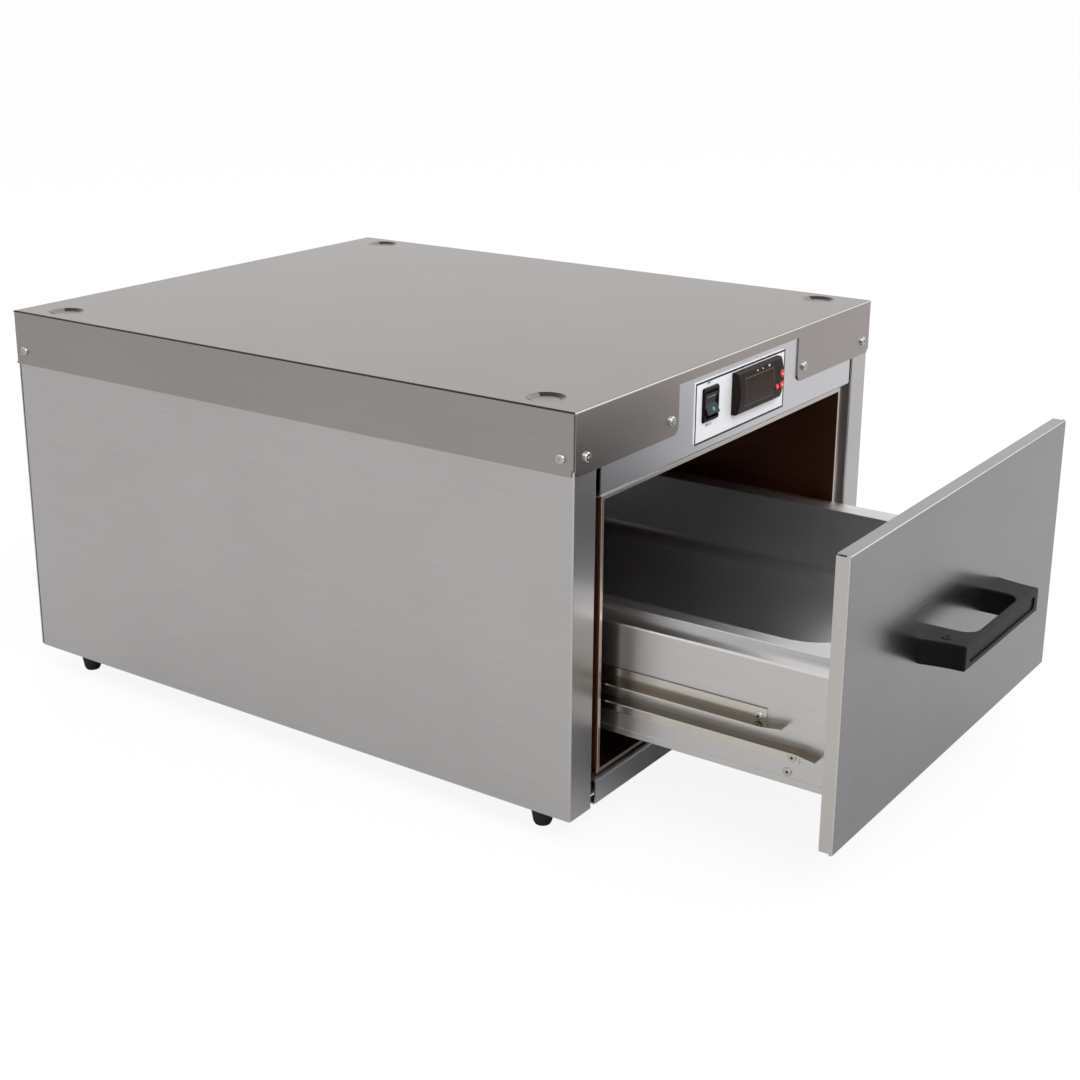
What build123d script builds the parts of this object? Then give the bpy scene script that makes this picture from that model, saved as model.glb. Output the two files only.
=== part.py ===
from build123d import *
import os
from math import cos, radians, sin

# Countertop warming drawer, in millimetres. +Z is up, the front faces -Y, the counter is Z = 0,
# and the origin is the middle of the cabinet's footprint. The drawer stands part way open.
# A size that ends in _drop is measured down from the top of the cabinet.

# Cabinet
cabinet_width = 490.0
cabinet_depth = 600.0
cabinet_height = 320.0  # without the feet
skin = 1.0  # outer sheet
lap = 0.2  # air between two sheets that cover each other
bend = 1.6  # outside radius of a sheet fold
stile_width = 31.0
stile_return = 10.0
rear_return = 16.0
fold_depth = 9.5  # inward lips of the header and the sill
base_flange = 15.0

# Top cover, a cap folded down over the cabinet
cover_flange = 48.0
cover_strip = 9.0  # what is left of the front flange above the notch
notch_half = 100.5
notch_corner = 7.0
tab_chamfer = 5.0
corner_relief = 1.2
cover_screw_drop = 35.5
cover_screw_side = 15.0  # from the side of the cabinet to a front screw
cover_screw_notch = 11.0  # from the notch to a front screw
cover_screw_end = 12.0  # from the front or back to a side screw
dimple_radius = 15.0
dimple_floor_radius = 10.5
dimple_depth = 2.0

# Feet
foot_height = 22.5
foot_top_radius = 11.0
foot_tip_radius = 7.5
foot_tip_round = 2.5
foot_inset_side = 25.0
foot_inset_end = 42.0
foot_screw_radius = 2.5
foot_screw_head_radius = 4.6
foot_screw_head_height = 3.0
foot_counterbore = 9.0
foot_screw_end = 3.0  # past the base panel

# Screws and rivets
screw_radius = 2.0
screw_head_radius = 3.9
screw_head_height = 2.2
screw_reach = 5.0  # shank below the head
socket_radius = 1.3
socket_depth = 1.2
hole_play = 0.1  # radial play of a shank in its hole
drill_length = 20.0  # longer than any stack of sheets that is drilled
rivet_radius = 1.6
rivet_head_radius = 3.4
rivet_head_height = 1.2
rivet_head_round = 0.85
rivet_eye_radius = 1.1
rivet_tail_radius = 2.4
rivet_tail_height = 1.4

# Front frame
header_drop = 72.3  # lower edge of the header
sill_height = 20.4
header_gap = 5.6  # dark joint between the header and the stile
header_fold = 3.0  # outside radius of the header's lower fold

# Warming compartment
liner_sheet = 0.8
liner_ceiling_drop = 77.0
liner_setback = 4.0  # behind the face of the stiles
hem_width = 3.5
hem_thickness = 1.6
hem_round = 0.7
return_air = 1.0  # between the hem and the return of a stile

# Insulation blankets
blanket_top = 24.0
blanket_side = 45.0
blanket_floor = 23.7
blanket_back = 28.0
rear_air = 6.6  # between the rear blanket and the returns of the side sheets
blanket_air = 1.0

# Heating element on the compartment floor
element_radius = 4.0
element_pitch = 66.0
element_rise = 14.0  # tube axis above the floor
element_front_gap = 95.0
element_tail = 34.0  # straight ends through the back wall
element_straight = 0.66  # between two bends, half of it
element_air = 0.3
clip_width = 12.0
clip_setback = 90.0  # from a bend of the element
clip_sheet = 1.2
clip_foot = 14.0

# Temperature probe
probe_radius = 3.0
probe_length = 70.0
probe_drop = 43.0  # below the ceiling of the compartment
probe_round = 1.8
probe_clip_inset = 14.0
probe_air = 8.0

# Back of the cabinet
gland_x = -150.0
gland_rise = 58.0  # above the feet
gland_flange_radius = 13.0
gland_flange_height = 3.0
gland_body_radius = 9.0
gland_bore_radius = 4.5
gland_reach = 16.0
gland_edge = 1.0
terminal_width = 42.0
terminal_depth = 16.0
terminal_height = 20.0
terminal_entry_radius = 3.0
terminal_entry_depth = 5.0
terminal_screw_radius = 2.0
terminal_screw_depth = 8.0
rear_screw_inset = 8.0
rear_screw_drop = 90.0  # highest screw, below the top
rear_screw_rise = 35.0  # lowest screw, above the feet

# Control panel
plate_half_width = 75.5
plate_top_drop = 13.8
plate_bottom_drop = 64.4
plate_thickness = 1.2
plate_corner = 2.0
control_drop = 34.0  # middle of the switch and of the controller
switch_x = -52.5
switch_width = 25.0
switch_height = 28.0
switch_rim = 2.0
switch_window_width = 19.0
switch_window_height = 22.0
switch_body_depth = 26.0
switch_wall = 1.2
rocker_air = 0.4
rocker_tilt = -8.0  # its lower end stands out
rocker_rise = 3.4
rocker_dip = 0.8  # hollow in the middle of its face
rocker_nose_setback = 2.1
rocker_shoulder_setback = 0.75
pivot_depth = 3.0
pivot_radius = 1.5
pivot_play = 0.08
pivot_length = 1.4
controller_x = 21.5
controller_width = 77.0
controller_height = 35.0
controller_body_width = 71.0
controller_body_height = 29.0
controller_body_depth = 58.0
controller_rim = 5.0
controller_bulge = 3.0
controller_corner = 2.0
window_x = 17.5
window_width = 48.0
window_height = 23.0
window_depth = 1.2
button_travel = 0.8
button_rise = 1.4
button_stand = 2.4  # bowed face at the buttons
button_air = 0.3
button_places = (
    ("up_button", 55.0, 29.8, 3.4),
    ("down_button", 55.0, 39.6, 3.4),
    ("set_button", 46.8, 39.6, 2.6),
)

# Drawer front
drawer_open = 199.5  # how far the front stands out at rest
front_gap_side = 2.0
front_gap_top = 2.1
front_gap_low = 2.2
front_thickness = 11.0
front_slit = 1.2
front_corner = 2.0
inner_lap = 0.3

# Handle
handle_fall = 1.1  # below the middle of the drawer front
handle_height = 20.0
handle_reach = 34.0
handle_half_base = 81.5
handle_half_front = 76.0
finger_half = 47.5
finger_depth = 28.5
finger_corner = 12.0
handle_edge = 1.6
handle_swell = 1.6  # the ends bow outwards by this
panel_inset = 8.0
groove_depth = 1.2
groove_height = 11.0
handle_screw_x = 66.0
handle_screw_radius = 2.5
handle_screw_depth = 16.0
handle_screw_head = 4.9
handle_screw_clear = 6.4

# Drawer body
slide_room = 13.5  # between the liner and the drawer side
drawer_end_air = 15.0
drawer_sheet = 1.2
drawer_floor_gap = 26.5
drawer_side_height = 91.0
end_ledge = 16.0
drawer_hem = 5.0
drawer_hem_round = 0.95
mitre_gap = 0.2
bracket_leg = 48.0
bracket_foot = 30.0
bracket_height = 52.0
bracket_rivet_rise = 9.8
bracket_rivet_offset = 51.6

# Pan
pan_side_air = 21.0  # from its rim to the outside of the drawer side
pan_end_air = 6.0
pan_rim_corner = 24.0
pan_rim_width = 14.0
pan_rim_height = 4.6
pan_rim_round = 0.6
pan_well_corner = 46.0
pan_depth = 65.0
pan_taper = 4.0
pan_sheet = 1.0
pan_foot_round = 14.0
pan_seat = 1.5  # air between the ledge and the well

# Slides
track_rise = 36.3  # middle of the track, above the lower edge of the drawer
track_gap = 12.6
rail_sheet = 1.2
rail_shelf = 10.0
rail_bend = 2.0
upper_web = 11.9
lower_web = 11.6
rail_end_air = 4.0
rail_rivet_inset = 11.0  # from the rear end of the rails
upper_web_start = 69.9
lower_web_start = 42.7
tongue_length = 16.3
tongue_flare = 2.3
tongue_bend = 20.0
upper_rivet_rise = 5.1  # above the upper shelf
lower_rivet_fall = 7.5  # below the lower shelf
upper_rivet_first = 76.2
upper_rivet_second = 308.6
lower_rivet_first = 47.8
lower_rivet_second = 294.4
front_roller_radius = 6.0
front_roller_width = 6.0
front_roller_setback = 62.5  # behind the face of the stiles
front_stud_radius = 3.0
rear_roller_radius = 9.0
rear_roller_width = 7.8
rear_axle_radius = 4.0
rear_axle_inset = 11.0  # from the rear end of the rails
roller_play = 0.05
roller_side_play = 0.25
front_roller_inset = 0.5  # of its middle from the middle of the shelves
rear_roller_gap = 2.4  # from the drawer side
front_roller_crown = 0.8
rear_roller_crown = 1.0
collar_rise = 1.5
collar_head_rise = 1.2
axle_head_height = 0.8
axle_tail_height = 1.2
roller_rise = 73.0  # rear roller, above the lower edge of the drawer
channel_sheet = 1.5
channel_play = 0.3  # between the rear roller and a flange
channel_flange = 11.7
channel_setback = 40.0
channel_bend = 1.8
channel_rear_air = 9.0
ear_setback = 46.0
ear_length = 34.0
drawer_travel_out = 220.0
stop_air = 2.5  # between the rear roller and its stop, fully out

# Places worked out from the sizes
top_z = foot_height + cabinet_height
front_y = -cabinet_depth / 2
back_y = cabinet_depth / 2
face_y = front_y + skin + lap
panel_half = cabinet_width / 2 - skin - lap
rear_face_y = back_y - skin - lap
return_y = rear_face_y - skin - lap
blanket_outer = panel_half - skin
liner_outer = blanket_outer - blanket_side
liner_half_width = liner_outer - liner_sheet
drawer_half_width = liner_half_width - slide_room
pan_width = 2 * (drawer_half_width - pan_side_air)
opening_half = cabinet_width / 2 - stile_width
header_half = opening_half - header_gap
header_z = top_z - header_drop
sill_z = foot_height + sill_height
base_z = foot_height + skin
gland_z = foot_height + gland_rise
rear_screw_top_z = top_z - rear_screw_drop
rear_screw_low_z = foot_height + rear_screw_rise
rear_screw_mid_z = (rear_screw_top_z + rear_screw_low_z) / 2
liner_front_y = face_y + liner_setback
liner_back_y = return_y - rear_air - blanket_back - liner_sheet
liner_depth = liner_back_y - liner_front_y
ceiling_z = top_z - liner_ceiling_drop
floor_z = base_z + blanket_floor + liner_sheet
control_z = top_z - control_drop
plate_y = face_y - plate_thickness
drawer_y = face_y - drawer_open
front_half = opening_half - front_gap_side
front_top_z = header_z - front_gap_top
front_bottom_z = sill_z + front_gap_low
frame_y = drawer_y + front_thickness
drawer_length = liner_depth - drawer_end_air
pan_length = drawer_length - 2 * pan_end_air
rail_end = front_thickness + drawer_length - rail_end_air
frame_back_y = frame_y + drawer_length
drawer_bottom_z = floor_z + drawer_floor_gap
ledge_z = drawer_bottom_z + drawer_side_height
front_mid_z = (front_top_z + front_bottom_z) / 2
handle_z = front_mid_z - handle_fall
track_z = drawer_bottom_z + track_rise
shelf_low_z = track_z - track_gap / 2
shelf_high_z = track_z + track_gap / 2
roller_z = drawer_bottom_z + roller_rise
front_roller_y = face_y + front_roller_setback
rear_axle_y = drawer_y + rail_end - rear_axle_inset
channel_y = face_y + channel_setback
channel_length = liner_back_y - channel_rear_air - channel_y
switch_hole_half_width = switch_window_width / 2 + switch_wall
switch_hole_half_height = switch_window_height / 2 + switch_wall
stop_y = rear_axle_y - drawer_travel_out - rear_roller_radius - stop_air
pan_y = frame_y + drawer_length / 2
rim_z = ledge_z + pan_rim_height
well_half = pan_width / 2 - pan_rim_width
ledge_inner = well_half + pan_seat
rail_rivet_last = rail_end - rail_rivet_inset
upper_rivet_offsets = (upper_rivet_first, upper_rivet_second, rail_rivet_last)
lower_rivet_offsets = (lower_rivet_first, lower_rivet_second, rail_rivet_last)
foot_x = cabinet_width / 2 - foot_inset_side
foot_y = cabinet_depth / 2 - foot_inset_end
foot_places = [(sx * foot_x, sy * foot_y) for sx in (-1, 1) for sy in (-1, 1)]

os.makedirs("parts", exist_ok=True)


def block(low, high, mode=Mode.ADD):
    """Add a plain block between two corners to the piece being built."""
    middle = [(a + b) / 2 for a, b in zip(low, high)]
    with Locations(tuple(middle)):
        Box(*[abs(b - a) for a, b in zip(low, high)], mode=mode)


def panel_block(x, half_width, half_height, low_y, high_y, mode=Mode.ADD):
    """Add or cut a block that is centred on a control of the front panel."""
    block(
        (x - half_width, low_y, control_z - half_height),
        (x + half_width, high_y, control_z + half_height),
        mode,
    )


def rod(start, direction, radius, length, mode=Mode.ADD):
    """Add a round bar that starts at a point and runs along a direction."""
    with Locations(Plane(origin=start, z_dir=direction).location):
        Cylinder(radius, length, align=(Align.CENTER, Align.CENTER, Align.MIN), mode=mode)


def headed(place, outward, shank, head, head_height, reach):
    """Add a screw with a domed head; place is where the underside of its head sits."""
    inward = tuple(-v for v in outward)
    rod(place, inward, shank, reach)
    with BuildPart(Plane(origin=place, z_dir=outward), mode=Mode.PRIVATE) as dome:
        Cylinder(head, head_height, align=(Align.CENTER, Align.CENTER, Align.MIN))
        fillet(dome.edges().sort_by(Axis(place, outward))[-1], head_height * 0.6)
        with Locations((0, 0, head_height)):
            Cylinder(socket_radius, 2 * socket_depth, mode=Mode.SUBTRACT)
    add(dome.part)


def sheet(points, plane, amount, thickness, side, radius=bend, both=False):
    """Add a folded sheet: an open outline with round folds, thickened to one side."""
    with BuildSketch(plane) as section:
        with BuildLine():
            FilletPolyline(*points, radius=radius)
            offset(amount=thickness, side=side)
        make_face()
    extrude(section.sketch, amount=amount, both=both)


# ---------------------------------------------------------------- cabinet shell

front_screws = [
    (sx * x, front_y, top_z - cover_screw_drop)
    for sx in (-1, 1)
    for x in (cabinet_width / 2 - cover_screw_side, notch_half + cover_screw_notch)
]
side_screws = [
    (sx * cabinet_width / 2, sy * (cabinet_depth / 2 - cover_screw_end), top_z - cover_screw_drop)
    for sx in (-1, 1)
    for sy in (-1, 1)
]
rear_cover_screws = [
    (sx * (cabinet_width / 2 - cover_screw_side), back_y, top_z - cover_screw_drop) for sx in (-1, 1)
]
rear_screws = [
    (sx * (panel_half - rear_screw_inset), rear_face_y, z)
    for sx in (-1, 1)
    for z in (rear_screw_top_z, rear_screw_mid_z, rear_screw_low_z)
]


def drill(places, direction, radius, length=drill_length):
    """Cut round holes right through the piece being built, centred on each place."""
    for place in places:
        start = tuple(p - d * length / 2 for p, d in zip(place, direction))
        rod(start, direction, radius, length, mode=Mode.SUBTRACT)


for side_name, sign in (("left", -1), ("right", 1)):
    with BuildPart() as side_panel:
        outline = (
            (liner_half_width + hem_width + return_air, face_y + stile_return),
            (opening_half, face_y + stile_return),
            (opening_half, face_y),
            (panel_half, face_y),
            (panel_half, return_y),
            (panel_half - rear_return, return_y),
        )
        sheet(outline, Plane.XY.offset(foot_height), cabinet_height - skin - lap, skin, Side.LEFT)
        drill(side_screws, (1, 0, 0), screw_radius + hole_play)
        drill(front_screws, (0, 1, 0), screw_radius + hole_play)
        drill(rear_cover_screws, (0, 1, 0), screw_radius + hole_play)
        drill(rear_screws, (0, 1, 0), screw_radius + hole_play)
        if sign < 0:
            mirror(about=Plane.YZ, mode=Mode.REPLACE)
    side_panel.part.label = f"side_panel_{side_name}"
    export_step(side_panel.part, f"parts/side_panel_{side_name}.step")

with BuildPart() as base_panel:
    base_half = panel_half - skin - lap
    base_front = face_y + skin + stile_return + lap
    base_back = return_y - skin - lap
    block((-base_half, base_front, foot_height), (base_half, base_back, foot_height + base_flange))
    fillet(base_panel.edges().filter_by(Axis.Z), bend)
    offset(amount=-skin, openings=base_panel.faces().sort_by(Axis.Z)[-1])
    for x, y in foot_places:
        rod((x, y, 0), (0, 0, 1), foot_screw_radius + hole_play, top_z / 2, mode=Mode.SUBTRACT)
base_panel.part.label = "base_panel"
export_step(base_panel.part, "parts/base_panel.step")

with BuildPart() as rear_panel:
    block((-panel_half, rear_face_y - skin, foot_height), (panel_half, rear_face_y, top_z - skin - lap))
    fillet(rear_panel.edges().filter_by(Axis.Y), bend)
    drill(rear_screws + rear_cover_screws, (0, 1, 0), screw_radius + hole_play)
    drill([(gland_x, rear_face_y, gland_z)], (0, 1, 0), gland_body_radius)
rear_panel.part.label = "rear_panel"
export_step(rear_panel.part, "parts/rear_panel.step")

with BuildPart() as top_cover:
    half = cabinet_width / 2
    block((-half, front_y, top_z - cover_flange), (half, back_y, top_z))
    fillet(top_cover.edges().group_by(Axis.Z)[-1], bend)
    offset(amount=-skin, openings=top_cover.faces().sort_by(Axis.Z)[0])
    # Notch in the front flange, with round lower inner corners on the two tabs
    tab_z = top_z - cover_flange
    strip_z = top_z - cover_strip
    round_z = tab_z + notch_corner
    notch_foot = notch_half + notch_corner
    with BuildSketch(Plane.XZ.offset(-front_y)):
        with BuildLine():
            Line((notch_foot, tab_z), (-notch_foot, tab_z))
            RadiusArc((-notch_foot, tab_z), (-notch_half, round_z), notch_corner)
            Polyline(
                (-notch_half, round_z),
                (-notch_half, strip_z),
                (notch_half, strip_z),
                (notch_half, round_z),
            )
            RadiusArc((notch_half, round_z), (notch_foot, tab_z), notch_corner)
        make_face()
    extrude(amount=3 * skin, both=True, mode=Mode.SUBTRACT)
    # The flanges part at the four upright corners and are clipped at the bottom
    for sx in (-1, 1):
        for sy in (-1, 1):
            corner = (sx * half, sy * back_y, top_z - cover_flange / 2)
            with Locations(corner):
                Box(2 * corner_relief, 2 * corner_relief, cover_flange - 2 * bend, mode=Mode.SUBTRACT)
        with BuildSketch(Plane.XZ.offset(-front_y)):
            with BuildLine():
                Polyline(
                    (sx * half, tab_z + tab_chamfer),
                    (sx * half, tab_z),
                    (sx * (half - tab_chamfer), tab_z),
                    close=True,
                )
            make_face()
        extrude(amount=3 * skin, both=True, mode=Mode.SUBTRACT)
    # Four pressed dimples where the feet of a second unit stand
    for x, y in foot_places:
        with BuildSketch(Plane(origin=(x, y, 0), x_dir=(1, 0, 0), z_dir=(0, -1, 0))):
            with BuildLine():
                Polyline(
                    (0, top_z - dimple_depth - skin),
                    (dimple_floor_radius, top_z - dimple_depth - skin),
                    (dimple_radius, top_z - skin),
                    (dimple_radius, top_z),
                    (0, top_z),
                    close=True,
                )
            make_face()
        revolve(axis=Axis((x, y, 0), (0, 0, 1)))
        with BuildSketch(Plane(origin=(x, y, 0), x_dir=(1, 0, 0), z_dir=(0, -1, 0))):
            with BuildLine():
                Polyline(
                    (0, top_z - dimple_depth),
                    (dimple_floor_radius, top_z - dimple_depth),
                    (dimple_radius, top_z),
                    (0, top_z),
                    close=True,
                )
            make_face()
        revolve(axis=Axis((x, y, 0), (0, 0, 1)), mode=Mode.SUBTRACT)
    drill(side_screws, (1, 0, 0), screw_radius + hole_play)
    drill(front_screws + rear_cover_screws, (0, 1, 0), screw_radius + hole_play)
top_cover.part.label = "top_cover"
export_step(top_cover.part, "parts/top_cover.step")

with BuildPart() as cover_screws:
    for place in front_screws:
        headed(place, (0, -1, 0), screw_radius, screw_head_radius, screw_head_height, screw_reach)
    for place in rear_cover_screws:
        headed(place, (0, 1, 0), screw_radius, screw_head_radius, screw_head_height, screw_reach)
    for place in side_screws:
        outward = (1 if place[0] > 0 else -1, 0, 0)
        headed(place, outward, screw_radius, screw_head_radius, screw_head_height, screw_reach)
cover_screws.part.label = "cover_screws"
export_step(cover_screws.part, "parts/cover_screws.step")

with BuildPart() as rear_panel_screws:
    for place in rear_screws:
        headed(place, (0, 1, 0), screw_radius, screw_head_radius, screw_head_height, screw_reach)
rear_panel_screws.part.label = "rear_panel_screws"
export_step(rear_panel_screws.part, "parts/rear_panel_screws.step")

# ---------------------------------------------------------------- feet

for x, y in foot_places:
    foot_name = ("front" if y < 0 else "rear") + "_" + ("left" if x < 0 else "right")
    with BuildPart() as foot:
        with BuildSketch(Plane(origin=(x, y, 0), x_dir=(1, 0, 0), z_dir=(0, -1, 0))):
            with BuildLine():
                bore = foot_screw_head_radius + hole_play
                shank = foot_screw_radius + hole_play
                Polyline(
                    (bore, 0),
                    (foot_tip_radius - foot_tip_round / 2, 0),
                    (foot_tip_radius, foot_tip_round),
                    (foot_top_radius, foot_height),
                    (shank, foot_height),
                    (shank, foot_counterbore),
                    (bore, foot_counterbore),
                    close=True,
                )
            make_face()
        revolve(axis=Axis((x, y, 0), (0, 0, 1)))
    foot.part.label = f"foot_{foot_name}"
    export_step(foot.part, f"parts/foot_{foot_name}.step")

with BuildPart() as foot_screws:
    for x, y in foot_places:
        place = (x, y, foot_counterbore)
        reach = foot_height + skin + foot_screw_end - foot_counterbore
        headed(
            place,
            (0, 0, -1),
            foot_screw_radius,
            foot_screw_head_radius,
            foot_screw_head_height,
            reach,
        )
foot_screws.part.label = "foot_screws"
export_step(foot_screws.part, "parts/foot_screws.step")

# ---------------------------------------------------------------- front frame

with BuildPart() as header:
    upper = top_z - skin - lap
    outline = (
        (face_y + fold_depth, header_z),
        (face_y, header_z),
        (face_y, upper),
        (face_y + fold_depth, upper),
    )
    sheet(outline, Plane.YZ, header_half, skin, Side.RIGHT, radius=header_fold, both=True)
    drill(front_screws, (0, 1, 0), screw_radius + hole_play)
    for x, half_width, half_height in (
        (switch_x, switch_hole_half_width, switch_hole_half_height),
        (controller_x, controller_body_width / 2, controller_body_height / 2),
    ):
        panel_block(x, half_width, half_height, front_y, face_y + 2 * skin, Mode.SUBTRACT)
header.part.label = "header_panel"
export_step(header.part, "parts/header_panel.step")

with BuildPart() as sill:
    outline = (
        (face_y + fold_depth, foot_height),
        (face_y, foot_height),
        (face_y, sill_z),
        (face_y + fold_depth, sill_z),
    )
    sheet(outline, Plane.YZ, header_half, skin, Side.RIGHT, both=True)
sill.part.label = "sill"
export_step(sill.part, "parts/sill.step")

# ---------------------------------------------------------------- warming compartment

with BuildPart() as liner:
    block(
        (-liner_outer, liner_front_y, floor_z - liner_sheet),
        (liner_outer, liner_back_y + liner_sheet, ceiling_z + liner_sheet),
    )
    offset(amount=-liner_sheet, openings=liner.faces().sort_by(Axis.Y)[0])
    # Hemmed rim round the mouth
    with BuildSketch(Plane.XZ.offset(-liner_front_y)):
        with Locations((0, (floor_z + ceiling_z) / 2)):
            Rectangle(2 * (liner_half_width + hem_width), ceiling_z - floor_z + 2 * hem_width)
            Rectangle(2 * liner_half_width, ceiling_z - floor_z, mode=Mode.SUBTRACT)
    extrude(amount=-hem_thickness)
    fillet(liner.faces().sort_by(Axis.Y)[0].outer_wire().edges(), hem_round)
    element_holes = [(sx * element_pitch * 1.5, liner_back_y, floor_z + element_rise) for sx in (-1, 1)]
    drill(element_holes, (0, 1, 0), element_radius + element_air)
liner.part.label = "compartment_liner"
export_step(liner.part, "parts/compartment_liner.step")

blanket_front_y = face_y + stile_return + skin + blanket_air
blanket_low_z = floor_z - liner_sheet
blanket_high_z = ceiling_z + liner_sheet
blankets = {
    "insulation_left": (
        (-blanket_outer, blanket_front_y, blanket_low_z),
        (-liner_outer, liner_back_y, blanket_high_z),
    ),
    "insulation_right": (
        (liner_outer, blanket_front_y, blanket_low_z),
        (blanket_outer, liner_back_y, blanket_high_z),
    ),
    "insulation_top": (
        (-blanket_outer, blanket_front_y + controller_body_depth, blanket_high_z),
        (blanket_outer, liner_back_y, blanket_high_z + blanket_top),
    ),
    "insulation_floor": (
        (-liner_outer, blanket_front_y + fold_depth, base_z),
        (liner_outer, liner_back_y, blanket_low_z),
    ),
    "insulation_back": (
        (-liner_outer, liner_back_y + liner_sheet, blanket_low_z),
        (liner_outer, liner_back_y + liner_sheet + blanket_back, blanket_high_z),
    ),
}
tail_y = liner_back_y + element_tail
for blanket_name, (low, high) in blankets.items():
    with BuildPart() as blanket:
        block(low, high)
        fillet(blanket.edges(), 3 * blanket_air)
        if blanket_name == "insulation_back":
            drill(element_holes, (0, 1, 0), element_radius + element_air, 3 * blanket_back)
            block(
                (gland_x - terminal_width, liner_back_y, gland_z - 2 * gland_body_radius),
                (gland_x + terminal_width, return_y, gland_z + terminal_height + 2 * gland_body_radius),
                mode=Mode.SUBTRACT,
            )
    blanket.part.label = blanket_name
    export_step(blanket.part, f"parts/{blanket_name}.step")

with BuildPart() as heating_element:
    element_z = floor_z + element_rise
    near_y = liner_front_y + element_front_gap
    far_y = liner_back_y - element_front_gap
    outer_x = 1.5 * element_pitch
    inner_x = 0.5 * element_pitch
    with BuildLine() as element_path:
        FilletPolyline(
            (-outer_x, tail_y, element_z),
            (-outer_x, near_y, element_z),
            (-inner_x, near_y, element_z),
            (-inner_x, far_y, element_z),
            (inner_x, far_y, element_z),
            (inner_x, near_y, element_z),
            (outer_x, near_y, element_z),
            (outer_x, tail_y, element_z),
            radius=element_pitch / 2 - element_straight,
        )
    with BuildSketch(Plane(origin=(-outer_x, tail_y, element_z), z_dir=(0, -1, 0))):
        Circle(element_radius)
    sweep()
heating_element.part.label = "heating_element"
export_step(heating_element.part, "parts/heating_element.step")

clip_places = [
    (x * element_pitch, y) for x in (-1.5, -0.5, 0.5, 1.5) for y in (near_y + clip_setback, far_y - clip_setback)
]
with BuildPart() as element_clips:
    for x, y in clip_places:
        reach = element_radius + element_air
        crown = element_z + reach + clip_sheet
        block(
            (x - reach - clip_sheet, y - clip_width / 2, floor_z),
            (x + reach + clip_sheet, y + clip_width / 2, crown),
        )
        block(
            (x - reach - clip_foot, y - clip_width / 2, floor_z),
            (x + reach + clip_foot, y + clip_width / 2, floor_z + clip_sheet),
        )
        block(
            (x - reach, y - clip_width, floor_z - clip_sheet),
            (x + reach, y + clip_width, element_z),
            mode=Mode.SUBTRACT,
        )
        rod((x, y - clip_width, element_z), (0, 1, 0), reach, 2 * clip_width, mode=Mode.SUBTRACT)
element_clips.part.label = "element_clips"
export_step(element_clips.part, "parts/element_clips.step")

with BuildPart() as probe:
    probe_z = ceiling_z - probe_drop
    probe_x = liner_half_width - probe_air
    probe_y = liner_back_y - 2 * probe_length
    rod((probe_x, probe_y, probe_z), (0, 1, 0), probe_radius, probe_length)
    fillet(probe.edges(), probe_round)
    for y in (probe_y + probe_clip_inset, probe_y + probe_length - probe_clip_inset):
        block(
            (probe_x, y - clip_sheet, probe_z - probe_radius),
            (liner_half_width, y + clip_sheet, probe_z + probe_radius),
        )
    block(
        (liner_half_width - clip_sheet, probe_y, probe_z - 2 * probe_radius),
        (liner_half_width, probe_y + probe_length, probe_z + 2 * probe_radius),
    )
probe.part.label = "temperature_probe"
export_step(probe.part, "parts/temperature_probe.step")

# ---------------------------------------------------------------- back of the cabinet

with BuildPart() as gland:
    with BuildSketch(Plane(origin=(gland_x, 0, gland_z), x_dir=(1, 0, 0), z_dir=(0, 0, 1))):
        with BuildLine():
            Polyline(
                (gland_bore_radius, rear_face_y - gland_reach),
                (gland_body_radius - hole_play, rear_face_y - gland_reach),
                (gland_body_radius - hole_play, rear_face_y),
                (gland_flange_radius, rear_face_y),
                (gland_flange_radius - gland_edge, rear_face_y + gland_flange_height),
                (gland_bore_radius + gland_edge, rear_face_y + gland_flange_height),
                (gland_bore_radius, rear_face_y + gland_flange_height - gland_edge),
                close=True,
            )
        make_face()
    revolve(axis=Axis((gland_x, 0, gland_z), (0, 1, 0)))
gland.part.label = "cord_gland"
export_step(gland.part, "parts/cord_gland.step")

with BuildPart() as terminal_block:
    low_x = gland_x - terminal_width / 2
    low_z = gland_z + gland_flange_radius
    high_y = rear_face_y - skin
    low_y = high_y - terminal_depth
    mid_y = high_y - terminal_depth / 2
    mid_z = low_z + terminal_height / 2
    block((low_x, low_y, low_z), (low_x + terminal_width, high_y, low_z + terminal_height))
    pole_pitch = terminal_width / 3
    for pole in range(3):
        x = low_x + (pole + 0.5) * pole_pitch
        entry = (terminal_entry_radius, terminal_entry_depth)
        rod((x, low_y, mid_z), (0, 1, 0), *entry, mode=Mode.SUBTRACT)
        screw = (terminal_screw_radius, terminal_screw_depth)
        rod((x, mid_y, low_z), (0, 0, 1), *screw, mode=Mode.SUBTRACT)
terminal_block.part.label = "terminal_block"
export_step(terminal_block.part, "parts/terminal_block.step")

# ---------------------------------------------------------------- control panel

with BuildPart() as control_plate:
    with BuildSketch(Plane.XZ.offset(-face_y)):
        with Locations((0, top_z - (plate_top_drop + plate_bottom_drop) / 2)):
            RectangleRounded(2 * plate_half_width, plate_bottom_drop - plate_top_drop, plate_corner)
        with Locations((switch_x, control_z)):
            Rectangle(2 * switch_hole_half_width, 2 * switch_hole_half_height, mode=Mode.SUBTRACT)
        with Locations((controller_x, control_z)):
            Rectangle(controller_body_width, controller_body_height, mode=Mode.SUBTRACT)
    extrude(amount=plate_thickness)
control_plate.part.label = "control_plate"
export_step(control_plate.part, "parts/control_plate.step")

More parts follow.
